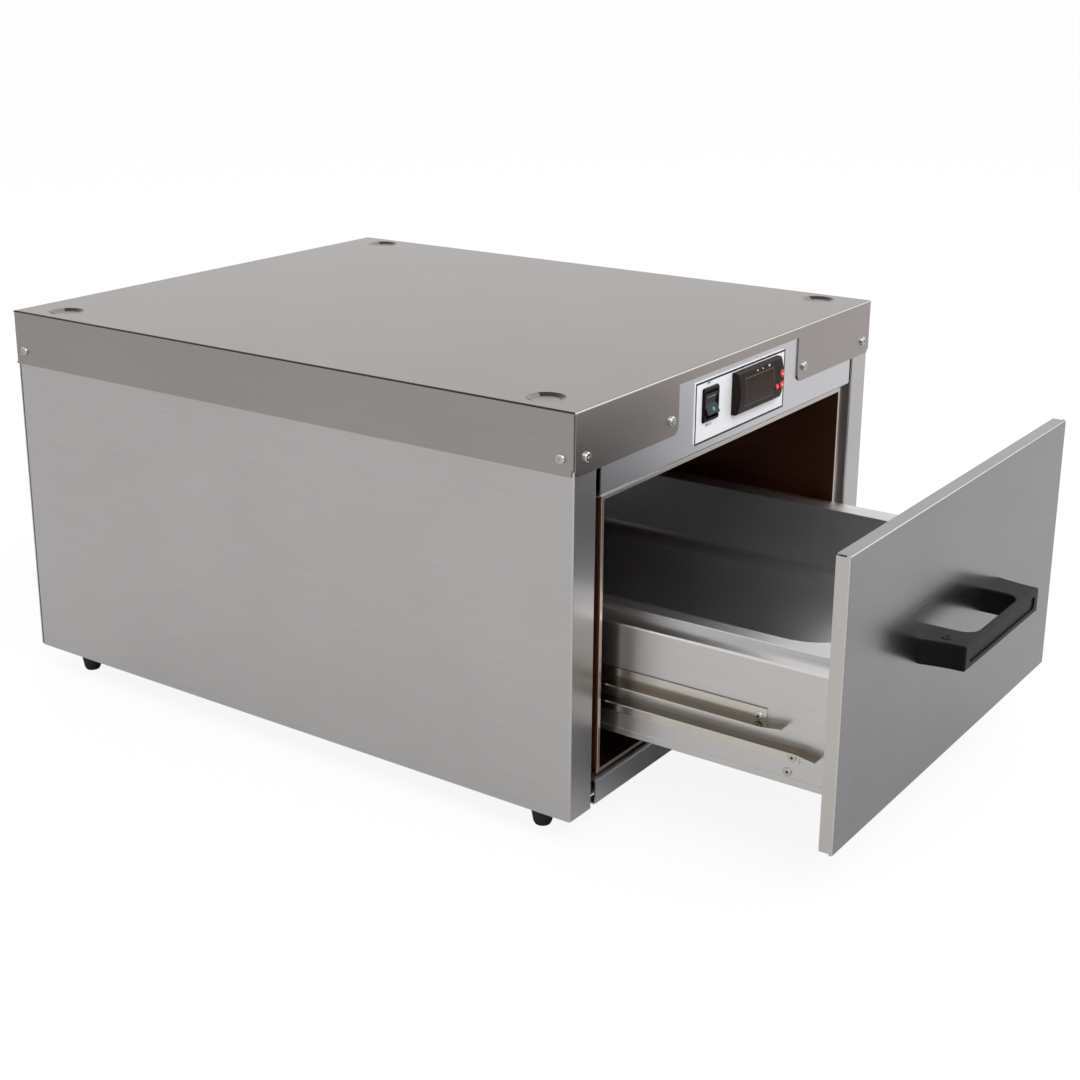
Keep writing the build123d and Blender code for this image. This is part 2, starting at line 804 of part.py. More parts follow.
# Switch: the frame snaps into the plate, the rocker turns on two short pins inside it
pivot_y = plate_y + pivot_depth
with BuildPart() as switch_frame:
    with BuildSketch(Plane.XZ.offset(-plate_y)):
        with Locations((switch_x, control_z)):
            RectangleRounded(switch_width, switch_height, switch_rim)
            Rectangle(switch_window_width, switch_window_height, mode=Mode.SUBTRACT)
    extrude(amount=switch_rim)
    chamfer(switch_frame.faces().sort_by(Axis.Y)[0].outer_wire().edges(), switch_rim / 2)
    with BuildSketch(Plane.XZ.offset(-plate_y)):
        with Locations((switch_x, control_z)):
            Rectangle(2 * switch_hole_half_width - lap, 2 * switch_hole_half_height - lap)
            Rectangle(switch_window_width, switch_window_height, mode=Mode.SUBTRACT)
    extrude(amount=-switch_body_depth)
    body_half = (switch_window_width / 2, switch_window_height / 2)
    panel_block(switch_x, *body_half, plate_y + switch_body_depth / 2, plate_y + switch_body_depth)
    for sx in (-1, 1):
        pin_x = switch_x + sx * (switch_window_width + switch_wall) / 2
        pin_length = switch_wall / 2 + pivot_length
        rod((pin_x, pivot_y, control_z), (-sx, 0, 0), pivot_radius, pin_length)
switch_frame.part.label = "switch_frame"
export_step(switch_frame.part, "parts/switch_frame.step")

with BuildPart() as rocker:
    half_height = switch_window_height / 2 - rocker_air
    half_width = switch_window_width / 2 - rocker_air
    nose = -rocker_rise - pivot_depth
    nose_half = half_height - rocker_nose_setback
    shoulder = half_height - rocker_shoulder_setback
    flank = (switch_x - half_width, pivot_y, control_z)
    lean = (0, cos(radians(rocker_tilt)), sin(radians(rocker_tilt)))
    with BuildSketch(Plane(origin=flank, x_dir=lean, z_dir=(1, 0, 0))):
        with BuildLine():
            Polyline((nose, -nose_half), (-pivot_depth - rocker_dip, 0), (nose, nose_half))
            ThreePointArc((nose, nose_half), (-pivot_depth, shoulder), (pivot_depth, shoulder))
            Line((pivot_depth, shoulder), (pivot_depth, -shoulder))
            ThreePointArc((pivot_depth, -shoulder), (-pivot_depth, -shoulder), (nose, -nose_half))
        make_face()
    extrude(amount=2 * half_width)
    for sx in (-1, 1):
        mouth = (switch_x + sx * half_width, pivot_y, control_z)
        rod(mouth, (-sx, 0, 0), pivot_radius + pivot_play, pivot_length, mode=Mode.SUBTRACT)
rocker.part.label = "switch_rocker"
export_step(rocker.part, "parts/switch_rocker.step")

# Temperature controller: a box behind the plate with a bowed face in front of it
button_floor_y = plate_y - skin
with BuildPart() as controller:
    left = controller_x - controller_width / 2
    right = controller_x + controller_width / 2
    with BuildSketch(Plane.XY.offset(control_z - controller_height / 2)):
        with BuildLine():
            brow_x = window_x + window_width / 2 + controller_corner
            brow_y = plate_y - controller_rim
            Polyline((right, brow_y), (right, plate_y), (left, plate_y), (left, brow_y), (brow_x, brow_y))
            crest = ((brow_x + right) / 2, brow_y - controller_bulge)
            ThreePointArc((brow_x, brow_y), crest, (right, brow_y))
        make_face()
    extrude(amount=controller_height)
    body_half = (controller_body_width / 2 - lap, controller_body_height / 2 - lap)
    panel_block(controller_x, *body_half, plate_y, plate_y + controller_body_depth)
    # Shallow seat for the display window and blind wells for the buttons
    seat_y = plate_y - controller_rim + window_depth
    seat_half = (window_width / 2, window_height / 2)
    panel_block(window_x, *seat_half, plate_y - 2 * controller_rim, seat_y, Mode.SUBTRACT)
    for button_name, x, drop, radius in button_places:
        well_start = plate_y - 2 * (controller_rim + controller_bulge)
        depth = button_floor_y - well_start
        rod((x, well_start, top_z - drop), (0, 1, 0), radius + button_air, depth, mode=Mode.SUBTRACT)
controller.part.label = "controller_housing"
export_step(controller.part, "parts/controller_housing.step")

with BuildPart() as display_window:
    pane_half = (window_width / 2 - lap, window_height / 2 - lap)
    panel_block(window_x, *pane_half, plate_y - controller_rim, seat_y)
    fillet(display_window.edges().filter_by(Axis.Y), controller_corner / 2)
display_window.part.label = "display_window"
export_step(display_window.part, "parts/display_window.step")

# Buttons slide into their wells; each well ends a travel and a little air behind its button
for button_name, x, drop, radius in button_places:
    with BuildPart() as button:
        crown_y = plate_y - controller_rim - button_stand - button_rise
        back = button_floor_y - button_travel - button_air
        rod((x, crown_y, top_z - drop), (0, 1, 0), radius, back - crown_y)
        fillet(button.edges().sort_by(Axis.Y)[0], button_rise / 2)
    button.part.label = button_name
    export_step(button.part, f"parts/{button_name}.step")

# ---------------------------------------------------------------- slides fixed to the cabinet

for side_name, sign in (("left", -1), ("right", 1)):
    web_x = liner_half_width
    inner_x = liner_half_width - channel_flange
    channel_low = roller_z - rear_roller_radius - channel_play - channel_sheet
    channel_high = roller_z + rear_roller_radius + channel_play + channel_sheet
    ear_y = face_y + ear_setback
    with BuildPart() as channel:
        outline = (
            (inner_x, channel_low),
            (web_x, channel_low),
            (web_x, channel_high),
            (inner_x, channel_high),
        )
        channel_plane = Plane.XZ.offset(-channel_y)
        sheet(outline, channel_plane, -channel_length, channel_sheet, Side.LEFT, radius=channel_bend)
        # Ear that hangs below the channel and carries the front roller's stud
        with BuildSketch(Plane.YZ.offset(web_x - channel_sheet)):
            with BuildLine():
                ear_low = track_z - 2 * front_roller_radius
                Polyline(
                    (ear_y, channel_low + 2 * channel_sheet),
                    (ear_y, ear_low + front_roller_radius),
                    (ear_y + front_roller_radius, ear_low),
                    (ear_y + ear_length - front_roller_radius, ear_low),
                    (ear_y + ear_length, ear_low + front_roller_radius),
                    (ear_y + ear_length, channel_low + 2 * channel_sheet),
                    close=True,
                )
            make_face()
        extrude(amount=channel_sheet)
        # Stop tab that the rear roller meets when the drawer is fully out
        block(
            (inner_x + channel_sheet, stop_y - channel_sheet, channel_low + channel_sheet / 2),
            (web_x - channel_sheet / 2, stop_y, channel_low + rear_roller_radius),
        )
        drill([(web_x, front_roller_y, track_z)], (1, 0, 0), front_stud_radius + hole_play)
        if sign < 0:
            mirror(about=Plane.YZ, mode=Mode.REPLACE)
    channel.part.label = f"slide_channel_{side_name}"
    export_step(channel.part, f"parts/slide_channel_{side_name}.step")

roller_mid = drawer_half_width + rail_sheet + rail_shelf / 2 - front_roller_inset
roller_inner = roller_mid - front_roller_width / 2
roller_outer = roller_mid + front_roller_width / 2
with BuildPart() as front_studs:
    for sign in (-1, 1):
        web = liner_half_width - channel_sheet
        head = roller_inner - roller_side_play
        stud_length = liner_half_width - head
        rod((sign * head, front_roller_y, track_z), (sign, 0, 0), front_stud_radius, stud_length)
        collar = roller_outer + roller_side_play
        collar_radius = front_stud_radius + collar_rise
        rod((sign * collar, front_roller_y, track_z), (sign, 0, 0), collar_radius, web - collar)
        head_radius = front_stud_radius + collar_head_rise
        head_start = (sign * (head - axle_head_height), front_roller_y, track_z)
        rod(head_start, (sign, 0, 0), head_radius, axle_head_height)
front_studs.part.label = "front_roller_studs"
export_step(front_studs.part, "parts/front_roller_studs.step")


def roller(x_low, x_high, y, z, radius, bore, crown):
    """Make a nylon roller with chamfered rims on an axis along X."""
    with BuildSketch(Plane(origin=(0, y, z), x_dir=(1, 0, 0), z_dir=(0, -1, 0))) as half_section:
        with BuildLine():
            Polyline(
                (x_low, bore),
                (x_low, radius - crown),
                (x_low + crown, radius),
                (x_high - crown, radius),
                (x_high, radius - crown),
                (x_high, bore),
                close=True,
            )
        make_face()
    revolve(half_section.sketch, axis=Axis((0, y, z), (1, 0, 0)))


for side_name, sign in (("left", -1), ("right", 1)):
    with BuildPart() as front_roller:
        bore = front_stud_radius + roller_play
        roller(
            roller_inner,
            roller_outer,
            front_roller_y,
            track_z,
            front_roller_radius,
            bore,
            front_roller_crown,
        )
        if sign < 0:
            mirror(about=Plane.YZ, mode=Mode.REPLACE)
    front_roller.part.label = f"front_roller_{side_name}"
    export_step(front_roller.part, f"parts/front_roller_{side_name}.step")

rear_inner = drawer_half_width + rear_roller_gap
with BuildPart() as rear_axles:
    for sign in (-1, 1):
        start = drawer_half_width - drawer_sheet
        end = rear_inner + rear_roller_width + roller_side_play
        rod((sign * start, rear_axle_y, roller_z), (sign, 0, 0), rear_axle_radius, end - start)
        collar = rear_inner - roller_side_play - drawer_half_width
        collar_radius = rear_axle_radius + collar_rise
        head_radius = rear_axle_radius + collar_head_rise
        rod((sign * drawer_half_width, rear_axle_y, roller_z), (sign, 0, 0), collar_radius, collar)
        rod((sign * end, rear_axle_y, roller_z), (sign, 0, 0), head_radius, axle_head_height)
        rod((sign * start, rear_axle_y, roller_z), (-sign, 0, 0), collar_radius, axle_tail_height)
rear_axles.part.label = "rear_roller_axles"
export_step(rear_axles.part, "parts/rear_roller_axles.step")

for side_name, sign in (("left", -1), ("right", 1)):
    with BuildPart() as rear_roller:
        bore = rear_axle_radius + roller_play
        roller(
            rear_inner,
            rear_inner + rear_roller_width,
            rear_axle_y,
            roller_z,
            rear_roller_radius,
            bore,
            rear_roller_crown,
        )
        if sign < 0:
            mirror(about=Plane.YZ, mode=Mode.REPLACE)
    rear_roller.part.label = f"rear_roller_{side_name}"
    export_step(rear_roller.part, f"parts/rear_roller_{side_name}.step")

# ---------------------------------------------------------------- drawer front

handle_screws_at = [(sx * handle_screw_x, drawer_y, handle_z) for sx in (-1, 1)]
front_height = front_top_z - front_bottom_z
with BuildPart() as drawer_front:
    block((-front_half, drawer_y, front_bottom_z), (front_half, drawer_y + front_thickness, front_top_z))
    fillet(drawer_front.edges().group_by(Axis.Y)[0], bend)
    offset(amount=-skin, openings=drawer_front.faces().sort_by(Axis.Y)[-1])
    # The folded flanges part at the corners
    for sx in (-1, 1):
        for sz in (-1, 1):
            corner = (sx * front_half, drawer_y + front_thickness, front_mid_z + sz * front_height / 2)
            with Locations(corner):
                Box(
                    2 * front_slit + 2 * skin,
                    2 * (front_thickness - 2 * bend),
                    front_slit,
                    align=(Align.CENTER, Align.CENTER, Align.MAX if sz > 0 else Align.MIN),
                    mode=Mode.SUBTRACT,
                )
    drill(handle_screws_at, (0, 1, 0), handle_screw_radius + hole_play)
drawer_front.part.label = "drawer_front"
export_step(drawer_front.part, "parts/drawer_front.step")

with BuildPart() as front_backing:
    half = front_half - skin - inner_lap
    low_z = front_bottom_z + skin + inner_lap
    high_z = front_top_z - skin - inner_lap
    block((-half, frame_y - skin, low_z), (half, frame_y, high_z))
    fillet(front_backing.edges().filter_by(Axis.Y), front_corner)
front_backing.part.label = "drawer_front_backing"
export_step(front_backing.part, "parts/drawer_front_backing.step")

with BuildPart() as front_blanket:
    block((-half, drawer_y + skin, low_z), (half, frame_y - skin, high_z))
    fillet(front_blanket.edges().filter_by(Axis.Y), 3 * front_corner)
    fillet(front_blanket.edges().group_by(Axis.Y)[0], bend)
    drill(handle_screws_at, (0, 1, 0), handle_screw_clear)
front_blanket.part.label = "drawer_front_insulation"
export_step(front_blanket.part, "parts/drawer_front_insulation.step")

with BuildPart() as handle:
    with BuildSketch(Plane.XY.offset(handle_z - handle_height / 2)):
        with BuildLine():
            tip_y = drawer_y - handle_reach
            Polyline((handle_half_base, drawer_y), (-handle_half_base, drawer_y))
            ThreePointArc(
                (-handle_half_base, drawer_y),
                (-handle_half_front - handle_swell, drawer_y - handle_reach / 2),
                (-handle_half_front, tip_y),
            )
            Line((-handle_half_front, tip_y), (handle_half_front, tip_y))
            ThreePointArc(
                (handle_half_front, tip_y),
                (handle_half_front + handle_swell, drawer_y - handle_reach / 2),
                (handle_half_base, drawer_y),
            )
        make_face()
        with BuildLine():
            FilletPolyline(
                (-finger_half, drawer_y + finger_corner),
                (-finger_half, drawer_y - finger_depth),
                (finger_half, drawer_y - finger_depth),
                (finger_half, drawer_y + finger_corner),
                radius=finger_corner,
            )
            Line((finger_half, drawer_y + finger_corner), (-finger_half, drawer_y + finger_corner))
        make_face(mode=Mode.SUBTRACT)
    extrude(amount=handle_height)
    fillet(handle.edges().filter_by(lambda e: e.center().Y < drawer_y - lap), handle_edge)
    # Shallow panel along the front of the bar
    with BuildSketch(Plane.XZ.offset(-tip_y)):
        with Locations((0, handle_z)):
            RectangleRounded(2 * (handle_half_front - panel_inset), groove_height, groove_height / 3)
    extrude(amount=-groove_depth, mode=Mode.SUBTRACT)
    drill(
        [(x, drawer_y - handle_screw_depth / 2, z) for x, y, z in handle_screws_at],
        (0, 1, 0),
        handle_screw_radius + hole_play,
        handle_screw_depth,
    )
handle.part.label = "handle"
export_step(handle.part, "parts/handle.step")

with BuildPart() as handle_screws:
    for x, y, z in handle_screws_at:
        place = (x, drawer_y + skin, z)
        reach = handle_screw_depth - skin
        headed(place, (0, 1, 0), handle_screw_radius, handle_screw_head, screw_head_height, reach)
handle_screws.part.label = "handle_screws"
export_step(handle_screws.part, "parts/handle_screws.step")

# ---------------------------------------------------------------- drawer body

upper_rivets = [(drawer_y + o, shelf_high_z + upper_rivet_rise) for o in upper_rivet_offsets]
lower_rivets = [(drawer_y + o, shelf_low_z - lower_rivet_fall) for o in lower_rivet_offsets]
bracket_rivet = (drawer_y + bracket_rivet_offset, drawer_bottom_z + bracket_rivet_rise)
rail_outer = drawer_half_width + rail_sheet
all_rivets = [(rail_outer, y, z) for y, z in upper_rivets + lower_rivets]
bracket_rivets = [(drawer_half_width, *bracket_rivet)]
ledge_width = drawer_half_width - ledge_inner

for side_name, sign in (("left", -1), ("right", 1)):
    with BuildPart() as drawer_side:
        outline = (
            (ledge_inner, ledge_z),
            (drawer_half_width, ledge_z),
            (drawer_half_width, drawer_bottom_z),
        )
        side_plane = Plane.XZ.offset(-frame_y)
        sheet(outline, side_plane, -drawer_length, drawer_sheet, Side.RIGHT, radius=rail_bend)
        # Hem: the lower edge is folded up against the outside
        with BuildSketch(Plane.XZ.offset(-frame_y)):
            with Locations((drawer_half_width - drawer_sheet, drawer_bottom_z)):
                Rectangle(2 * drawer_sheet, drawer_hem, align=(Align.MIN, Align.MIN))
        extrude(amount=-drawer_length)
        hem_edges = drawer_side.edges().filter_by(Axis.Y).group_by(Axis.Z)[0]
        fillet(hem_edges, drawer_hem_round)
        drill(all_rivets + bracket_rivets, (1, 0, 0), rivet_radius + hole_play)
        drill([(drawer_half_width, rear_axle_y, roller_z)], (1, 0, 0), rear_axle_radius + hole_play)
        if sign < 0:
            mirror(about=Plane.YZ, mode=Mode.REPLACE)
    drawer_side.part.label = f"drawer_side_{side_name}"
    export_step(drawer_side.part, f"parts/drawer_side_{side_name}.step")

for end_name, start_y, inward in (("front", frame_y, 1), ("rear", frame_back_y, -1)):
    with BuildPart() as end_rail:
        inner_half = drawer_half_width - drawer_sheet - mitre_gap
        outline = (
            (start_y + inward * end_ledge, ledge_z),
            (start_y, ledge_z),
            (start_y, drawer_bottom_z),
            (start_y + inward * end_ledge, drawer_bottom_z),
        )
        turn = Side.LEFT if inward > 0 else Side.RIGHT
        sheet(outline, Plane.YZ, inner_half, drawer_sheet, turn, radius=rail_bend, both=True)
        # The side ledges pass over the ends of this rail
        cut_low_z = ledge_z - drawer_sheet - mitre_gap
        for sx in (-1, 1):
            block(
                (sx * (ledge_inner - mitre_gap), start_y - inward * end_ledge, cut_low_z),
                (sx * drawer_half_width, start_y + 2 * inward * end_ledge, ledge_z + end_ledge),
                mode=Mode.SUBTRACT,
            )
    end_rail.part.label = f"drawer_{end_name}_rail"
    export_step(end_rail.part, f"parts/drawer_{end_name}_rail.step")

for side_name, sign in (("left", -1), ("right", 1)):
    with BuildPart() as bracket:
        outer = drawer_half_width - drawer_sheet
        rear_of_rail = frame_y + drawer_sheet
        outline = (
            (outer - bracket_foot, rear_of_rail),
            (outer, rear_of_rail),
            (outer, rear_of_rail + bracket_leg),
        )
        low = drawer_bottom_z + drawer_sheet + bend
        bracket_plane = Plane.XY.offset(low)
        sheet(outline, bracket_plane, bracket_height, drawer_sheet, Side.LEFT, radius=rail_bend)
        shared_rivets = [(drawer_half_width, *lower_rivets[0])]
        drill(bracket_rivets + shared_rivets, (1, 0, 0), rivet_radius + hole_play)
        if sign < 0:
            mirror(about=Plane.YZ, mode=Mode.REPLACE)
    bracket.part.label = f"front_bracket_{side_name}"
    export_step(bracket.part, f"parts/front_bracket_{side_name}.step")

# Two angles on each side make the track that the front roller runs in; both flare at the front
for side_name, sign in (("left", -1), ("right", 1)):
    rail_length = drawer_y + rail_end
    for level, web_start, shelf_z, up, web_height in (
        ("upper", upper_web_start, shelf_high_z, 1, upper_web),
        ("lower", lower_web_start, shelf_low_z, -1, lower_web),
    ):
        with BuildPart() as rail:
            web_y = drawer_y + web_start
            with BuildSketch(Plane.YZ.offset(drawer_half_width)):
                with BuildLine():
                    FilletPolyline(
                        (web_y - tongue_length, shelf_z + up * tongue_flare),
                        (web_y, shelf_z),
                        (rail_length, shelf_z),
                        radius=tongue_bend,
                    )
                    offset(amount=rail_sheet, side=Side.LEFT if up > 0 else Side.RIGHT)
                make_face()
            extrude(amount=rail_shelf)
            with BuildSketch(Plane.YZ.offset(drawer_half_width)):
                with Locations((web_y, shelf_z)):
                    Rectangle(
                        rail_length - web_y,
                        web_height,
                        align=(Align.MIN, Align.MIN if up > 0 else Align.MAX),
                    )
            extrude(amount=rail_sheet)
            drill(all_rivets, (1, 0, 0), rivet_radius + hole_play)
            if sign < 0:
                mirror(about=Plane.YZ, mode=Mode.REPLACE)
        rail.part.label = f"{level}_rail_{side_name}"
        export_step(rail.part, f"parts/{level}_rail_{side_name}.step")

with BuildPart() as rivets:
    for sign in (-1, 1):
        for x, y, z in all_rivets + bracket_rivets:
            through_bracket = (y, z) in (lower_rivets[0], bracket_rivet)
            behind = 2 * drawer_sheet if through_bracket else drawer_sheet
            grip = x - drawer_half_width + behind
            tail_x = x - grip
            rod((sign * tail_x, y, z), (sign, 0, 0), rivet_radius, grip)
            rod((sign * tail_x, y, z), (-sign, 0, 0), rivet_tail_radius, rivet_tail_height)
            head_plane = Plane(origin=(sign * x, y, z), z_dir=(sign, 0, 0))
            rivet_head = (rivet_head_radius, rivet_head_height)
            with BuildPart(head_plane, mode=Mode.PRIVATE) as dome:
                Cylinder(*rivet_head, align=(Align.CENTER, Align.CENTER, Align.MIN))
                rim = dome.edges().group_by(Axis((0, 0, 0), (sign, 0, 0)))[-1]
                fillet(rim, rivet_head_round)
                with Locations((0, 0, rivet_head_height)):
                    Cylinder(rivet_eye_radius, rivet_head_height, mode=Mode.SUBTRACT)
            add(dome.part)
rivets.part.label = "slide_rivets"
export_step(rivets.part, "parts/slide_rivets.step")

# ---------------------------------------------------------------- pan


def well(half_x, half_y, corner, depth, foot_round):
    """Make the tapered body of the pan, solid, hanging from the level of its rim."""
    with BuildPart(mode=Mode.PRIVATE) as body:
        with BuildSketch(Plane.XY.offset(rim_z)):
            with Locations((0, pan_y)):
                RectangleRounded(2 * half_x, 2 * half_y, corner)
        extrude(amount=-depth, taper=pan_taper)
        fillet(body.edges().group_by(Axis.Z)[0], foot_round)
    return body.part


well_length = pan_length / 2 - pan_rim_width
outer_well = well(well_half, well_length, pan_well_corner, pan_depth, pan_foot_round)
inner_well = well(
    well_half - pan_sheet,
    well_length - pan_sheet,
    pan_well_corner - pan_sheet,
    pan_depth - pan_sheet,
    pan_foot_round - pan_sheet,
)
with BuildPart() as pan:
    add(outer_well)
    with BuildSketch(Plane.XY.offset(rim_z - pan_sheet)):
        with Locations((0, pan_y)):
            RectangleRounded(pan_width, pan_length, pan_rim_corner)
    extrude(amount=pan_sheet)
    add(inner_well, mode=Mode.SUBTRACT)
    with BuildSketch(Plane.XY.offset(ledge_z)):
        with Locations((0, pan_y)):
            RectangleRounded(pan_width, pan_length, pan_rim_corner)
            inner_skirt = (pan_width - 2 * pan_sheet, pan_length - 2 * pan_sheet)
            RectangleRounded(*inner_skirt, pan_rim_corner - pan_sheet, mode=Mode.SUBTRACT)
    extrude(amount=pan_rim_height)
    fillet(pan.edges().group_by(Axis.Z)[-1], pan_rim_round)
pan.part.label = "food_pan"
export_step(pan.part, "parts/food_pan.step")
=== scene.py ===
"""Looks of a countertop warming drawer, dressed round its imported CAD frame.

All sizes are in metres in the frame of the CAD: +Z up, the front faces -Y, the counter is Z = 0.
"""

import logging
import math
from dataclasses import dataclass
from enum import Enum

import bmesh
import bpy
from mathutils import Euler, Matrix, Vector, noise


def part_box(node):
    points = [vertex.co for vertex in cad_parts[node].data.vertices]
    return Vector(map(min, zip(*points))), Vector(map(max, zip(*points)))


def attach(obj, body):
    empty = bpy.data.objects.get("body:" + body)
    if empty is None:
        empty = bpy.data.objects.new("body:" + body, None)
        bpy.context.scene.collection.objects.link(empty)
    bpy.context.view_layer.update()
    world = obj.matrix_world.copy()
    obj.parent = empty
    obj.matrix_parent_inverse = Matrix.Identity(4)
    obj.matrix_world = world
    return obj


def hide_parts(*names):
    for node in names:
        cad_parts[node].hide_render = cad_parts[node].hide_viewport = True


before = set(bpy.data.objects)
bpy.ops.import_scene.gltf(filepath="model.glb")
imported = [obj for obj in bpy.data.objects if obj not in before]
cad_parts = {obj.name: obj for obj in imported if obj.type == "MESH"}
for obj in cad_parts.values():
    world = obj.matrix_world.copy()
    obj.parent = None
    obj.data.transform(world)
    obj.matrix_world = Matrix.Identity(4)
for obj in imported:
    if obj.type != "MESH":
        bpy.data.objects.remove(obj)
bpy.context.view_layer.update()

MM = 0.001
PHOTO_PIXELS = 1080
WELD = 1e-6  # vertices nearer than this are one
LOG = logging.getLogger("warming_drawer")

# A Mix node's colour sockets share their names with its number sockets, so they go by number
MIX_A, MIX_B, MIX_RESULT = 6, 7, 2

Point = tuple[float, float, float]
Outline = list[tuple[float, float]]
Tree = bpy.types.NodeTree
Socket = bpy.types.NodeSocket
Material = bpy.types.Material
Mesh = bmesh.types.BMesh


class Grain(Enum):
    """Direction in which a sheet was brushed."""

    WIDTH = (1, 0, 0)
    DEPTH = (0, 1, 0)
    HEIGHT = (0, 0, 1)


class Facing(Enum):
    """Which faces count as looking along a direction, as the math node that folds their angle."""

    EITHER_WAY = "ABSOLUTE"
    ONE_WAY = "SINE"  # an odd function, so faces that look the other way stay below zero


def linear(code: str) -> tuple[float, float, float, float]:
    """Turn an sRGB hex colour to linear.

    Args:
        code: Six hex digits, red first.

    Returns:
        Red, green, blue and an alpha of one.
    """
    parts = [int(code[i : i + 2], 16) / 255 for i in (0, 2, 4)]
    light = [c / 12.92 if c <= 0.04045 else ((c + 0.055) / 1.055) ** 2.4 for c in parts]
    return (*light, 1.0)


def add_node(tree: Tree, kind: str, inputs: dict | None = None,
             **settings: object) -> bpy.types.Node:
    """Add a shader node.

    Args:
        tree: The material's or the world's tree.
        kind: Blender's name for the node type.
        inputs: Input names or numbers, each with a value or with the socket that feeds it.
        settings: Properties of the node itself.

    Returns:
        The new node.
    """
    node = tree.nodes.new(kind)
    for name, value in settings.items():
        setattr(node, name, value)
    for name, value in (inputs or {}).items():
        if isinstance(value, bpy.types.NodeSocket):
            tree.links.new(value, node.inputs[name])
        else:
            node.inputs[name].default_value = value
    return node


@dataclass(frozen=True)
class Finish:
    """What every finish shares: a pattern that drives its colour, roughness and relief."""

    name: str
    low: str  # colour in the troughs of the pattern
    high: str  # colour on its crests

    def material(self) -> Material:
        """Make the material."""
        made = bpy.data.materials.new(self.name)
        made.use_nodes = True
        tree = made.node_tree
        coords = add_node(tree, "ShaderNodeTexCoord")
        self.paint(tree, tree.nodes["Principled BSDF"], coords)
        return made

    def paint(self, tree: Tree, shader: bpy.types.Node, coords: bpy.types.Node) -> None:
        """Draw the finish.

        Args:
            tree: The material's tree.
            shader: Its principled shader.
            coords: Its texture coordinates.
        """
        raise NotImplementedError

    def shades(self, tree: Tree, pattern: Socket, low: str, high: str) -> Socket:
        """Run from one colour to another along a pattern.

        Args:
            tree: The material's tree.
            pattern: The pattern's height.
            low: Hex colour of the troughs.
            high: Hex colour of the crests.

        Returns:
            The colour's socket.
        """
        ramp = add_node(tree, "ShaderNodeValToRGB", {"Fac": pattern})
        for stop, place, code in zip(ramp.color_ramp.elements, (0.25, 0.75), (low, high)):
            stop.position = place
            stop.color = linear(code)
        return ramp.outputs["Color"]

    def relieve(self, tree: Tree, shader: bpy.types.Node, height: Socket, strength: float,
                depth_mm: float) -> None:
        """Press a pattern into the surface.

        Args:
            tree: The material's tree.
            shader: Its principled shader.
            height: The pattern's height.
            strength: Share of the relief that the light sees.
            depth_mm: Depth of the relief.
        """
        bump = add_node(tree, "ShaderNodeBump", {"Height": height, "Strength": strength,
                                                 "Distance": depth_mm * MM})
        tree.links.new(bump.outputs["Normal"], shader.inputs["Normal"])


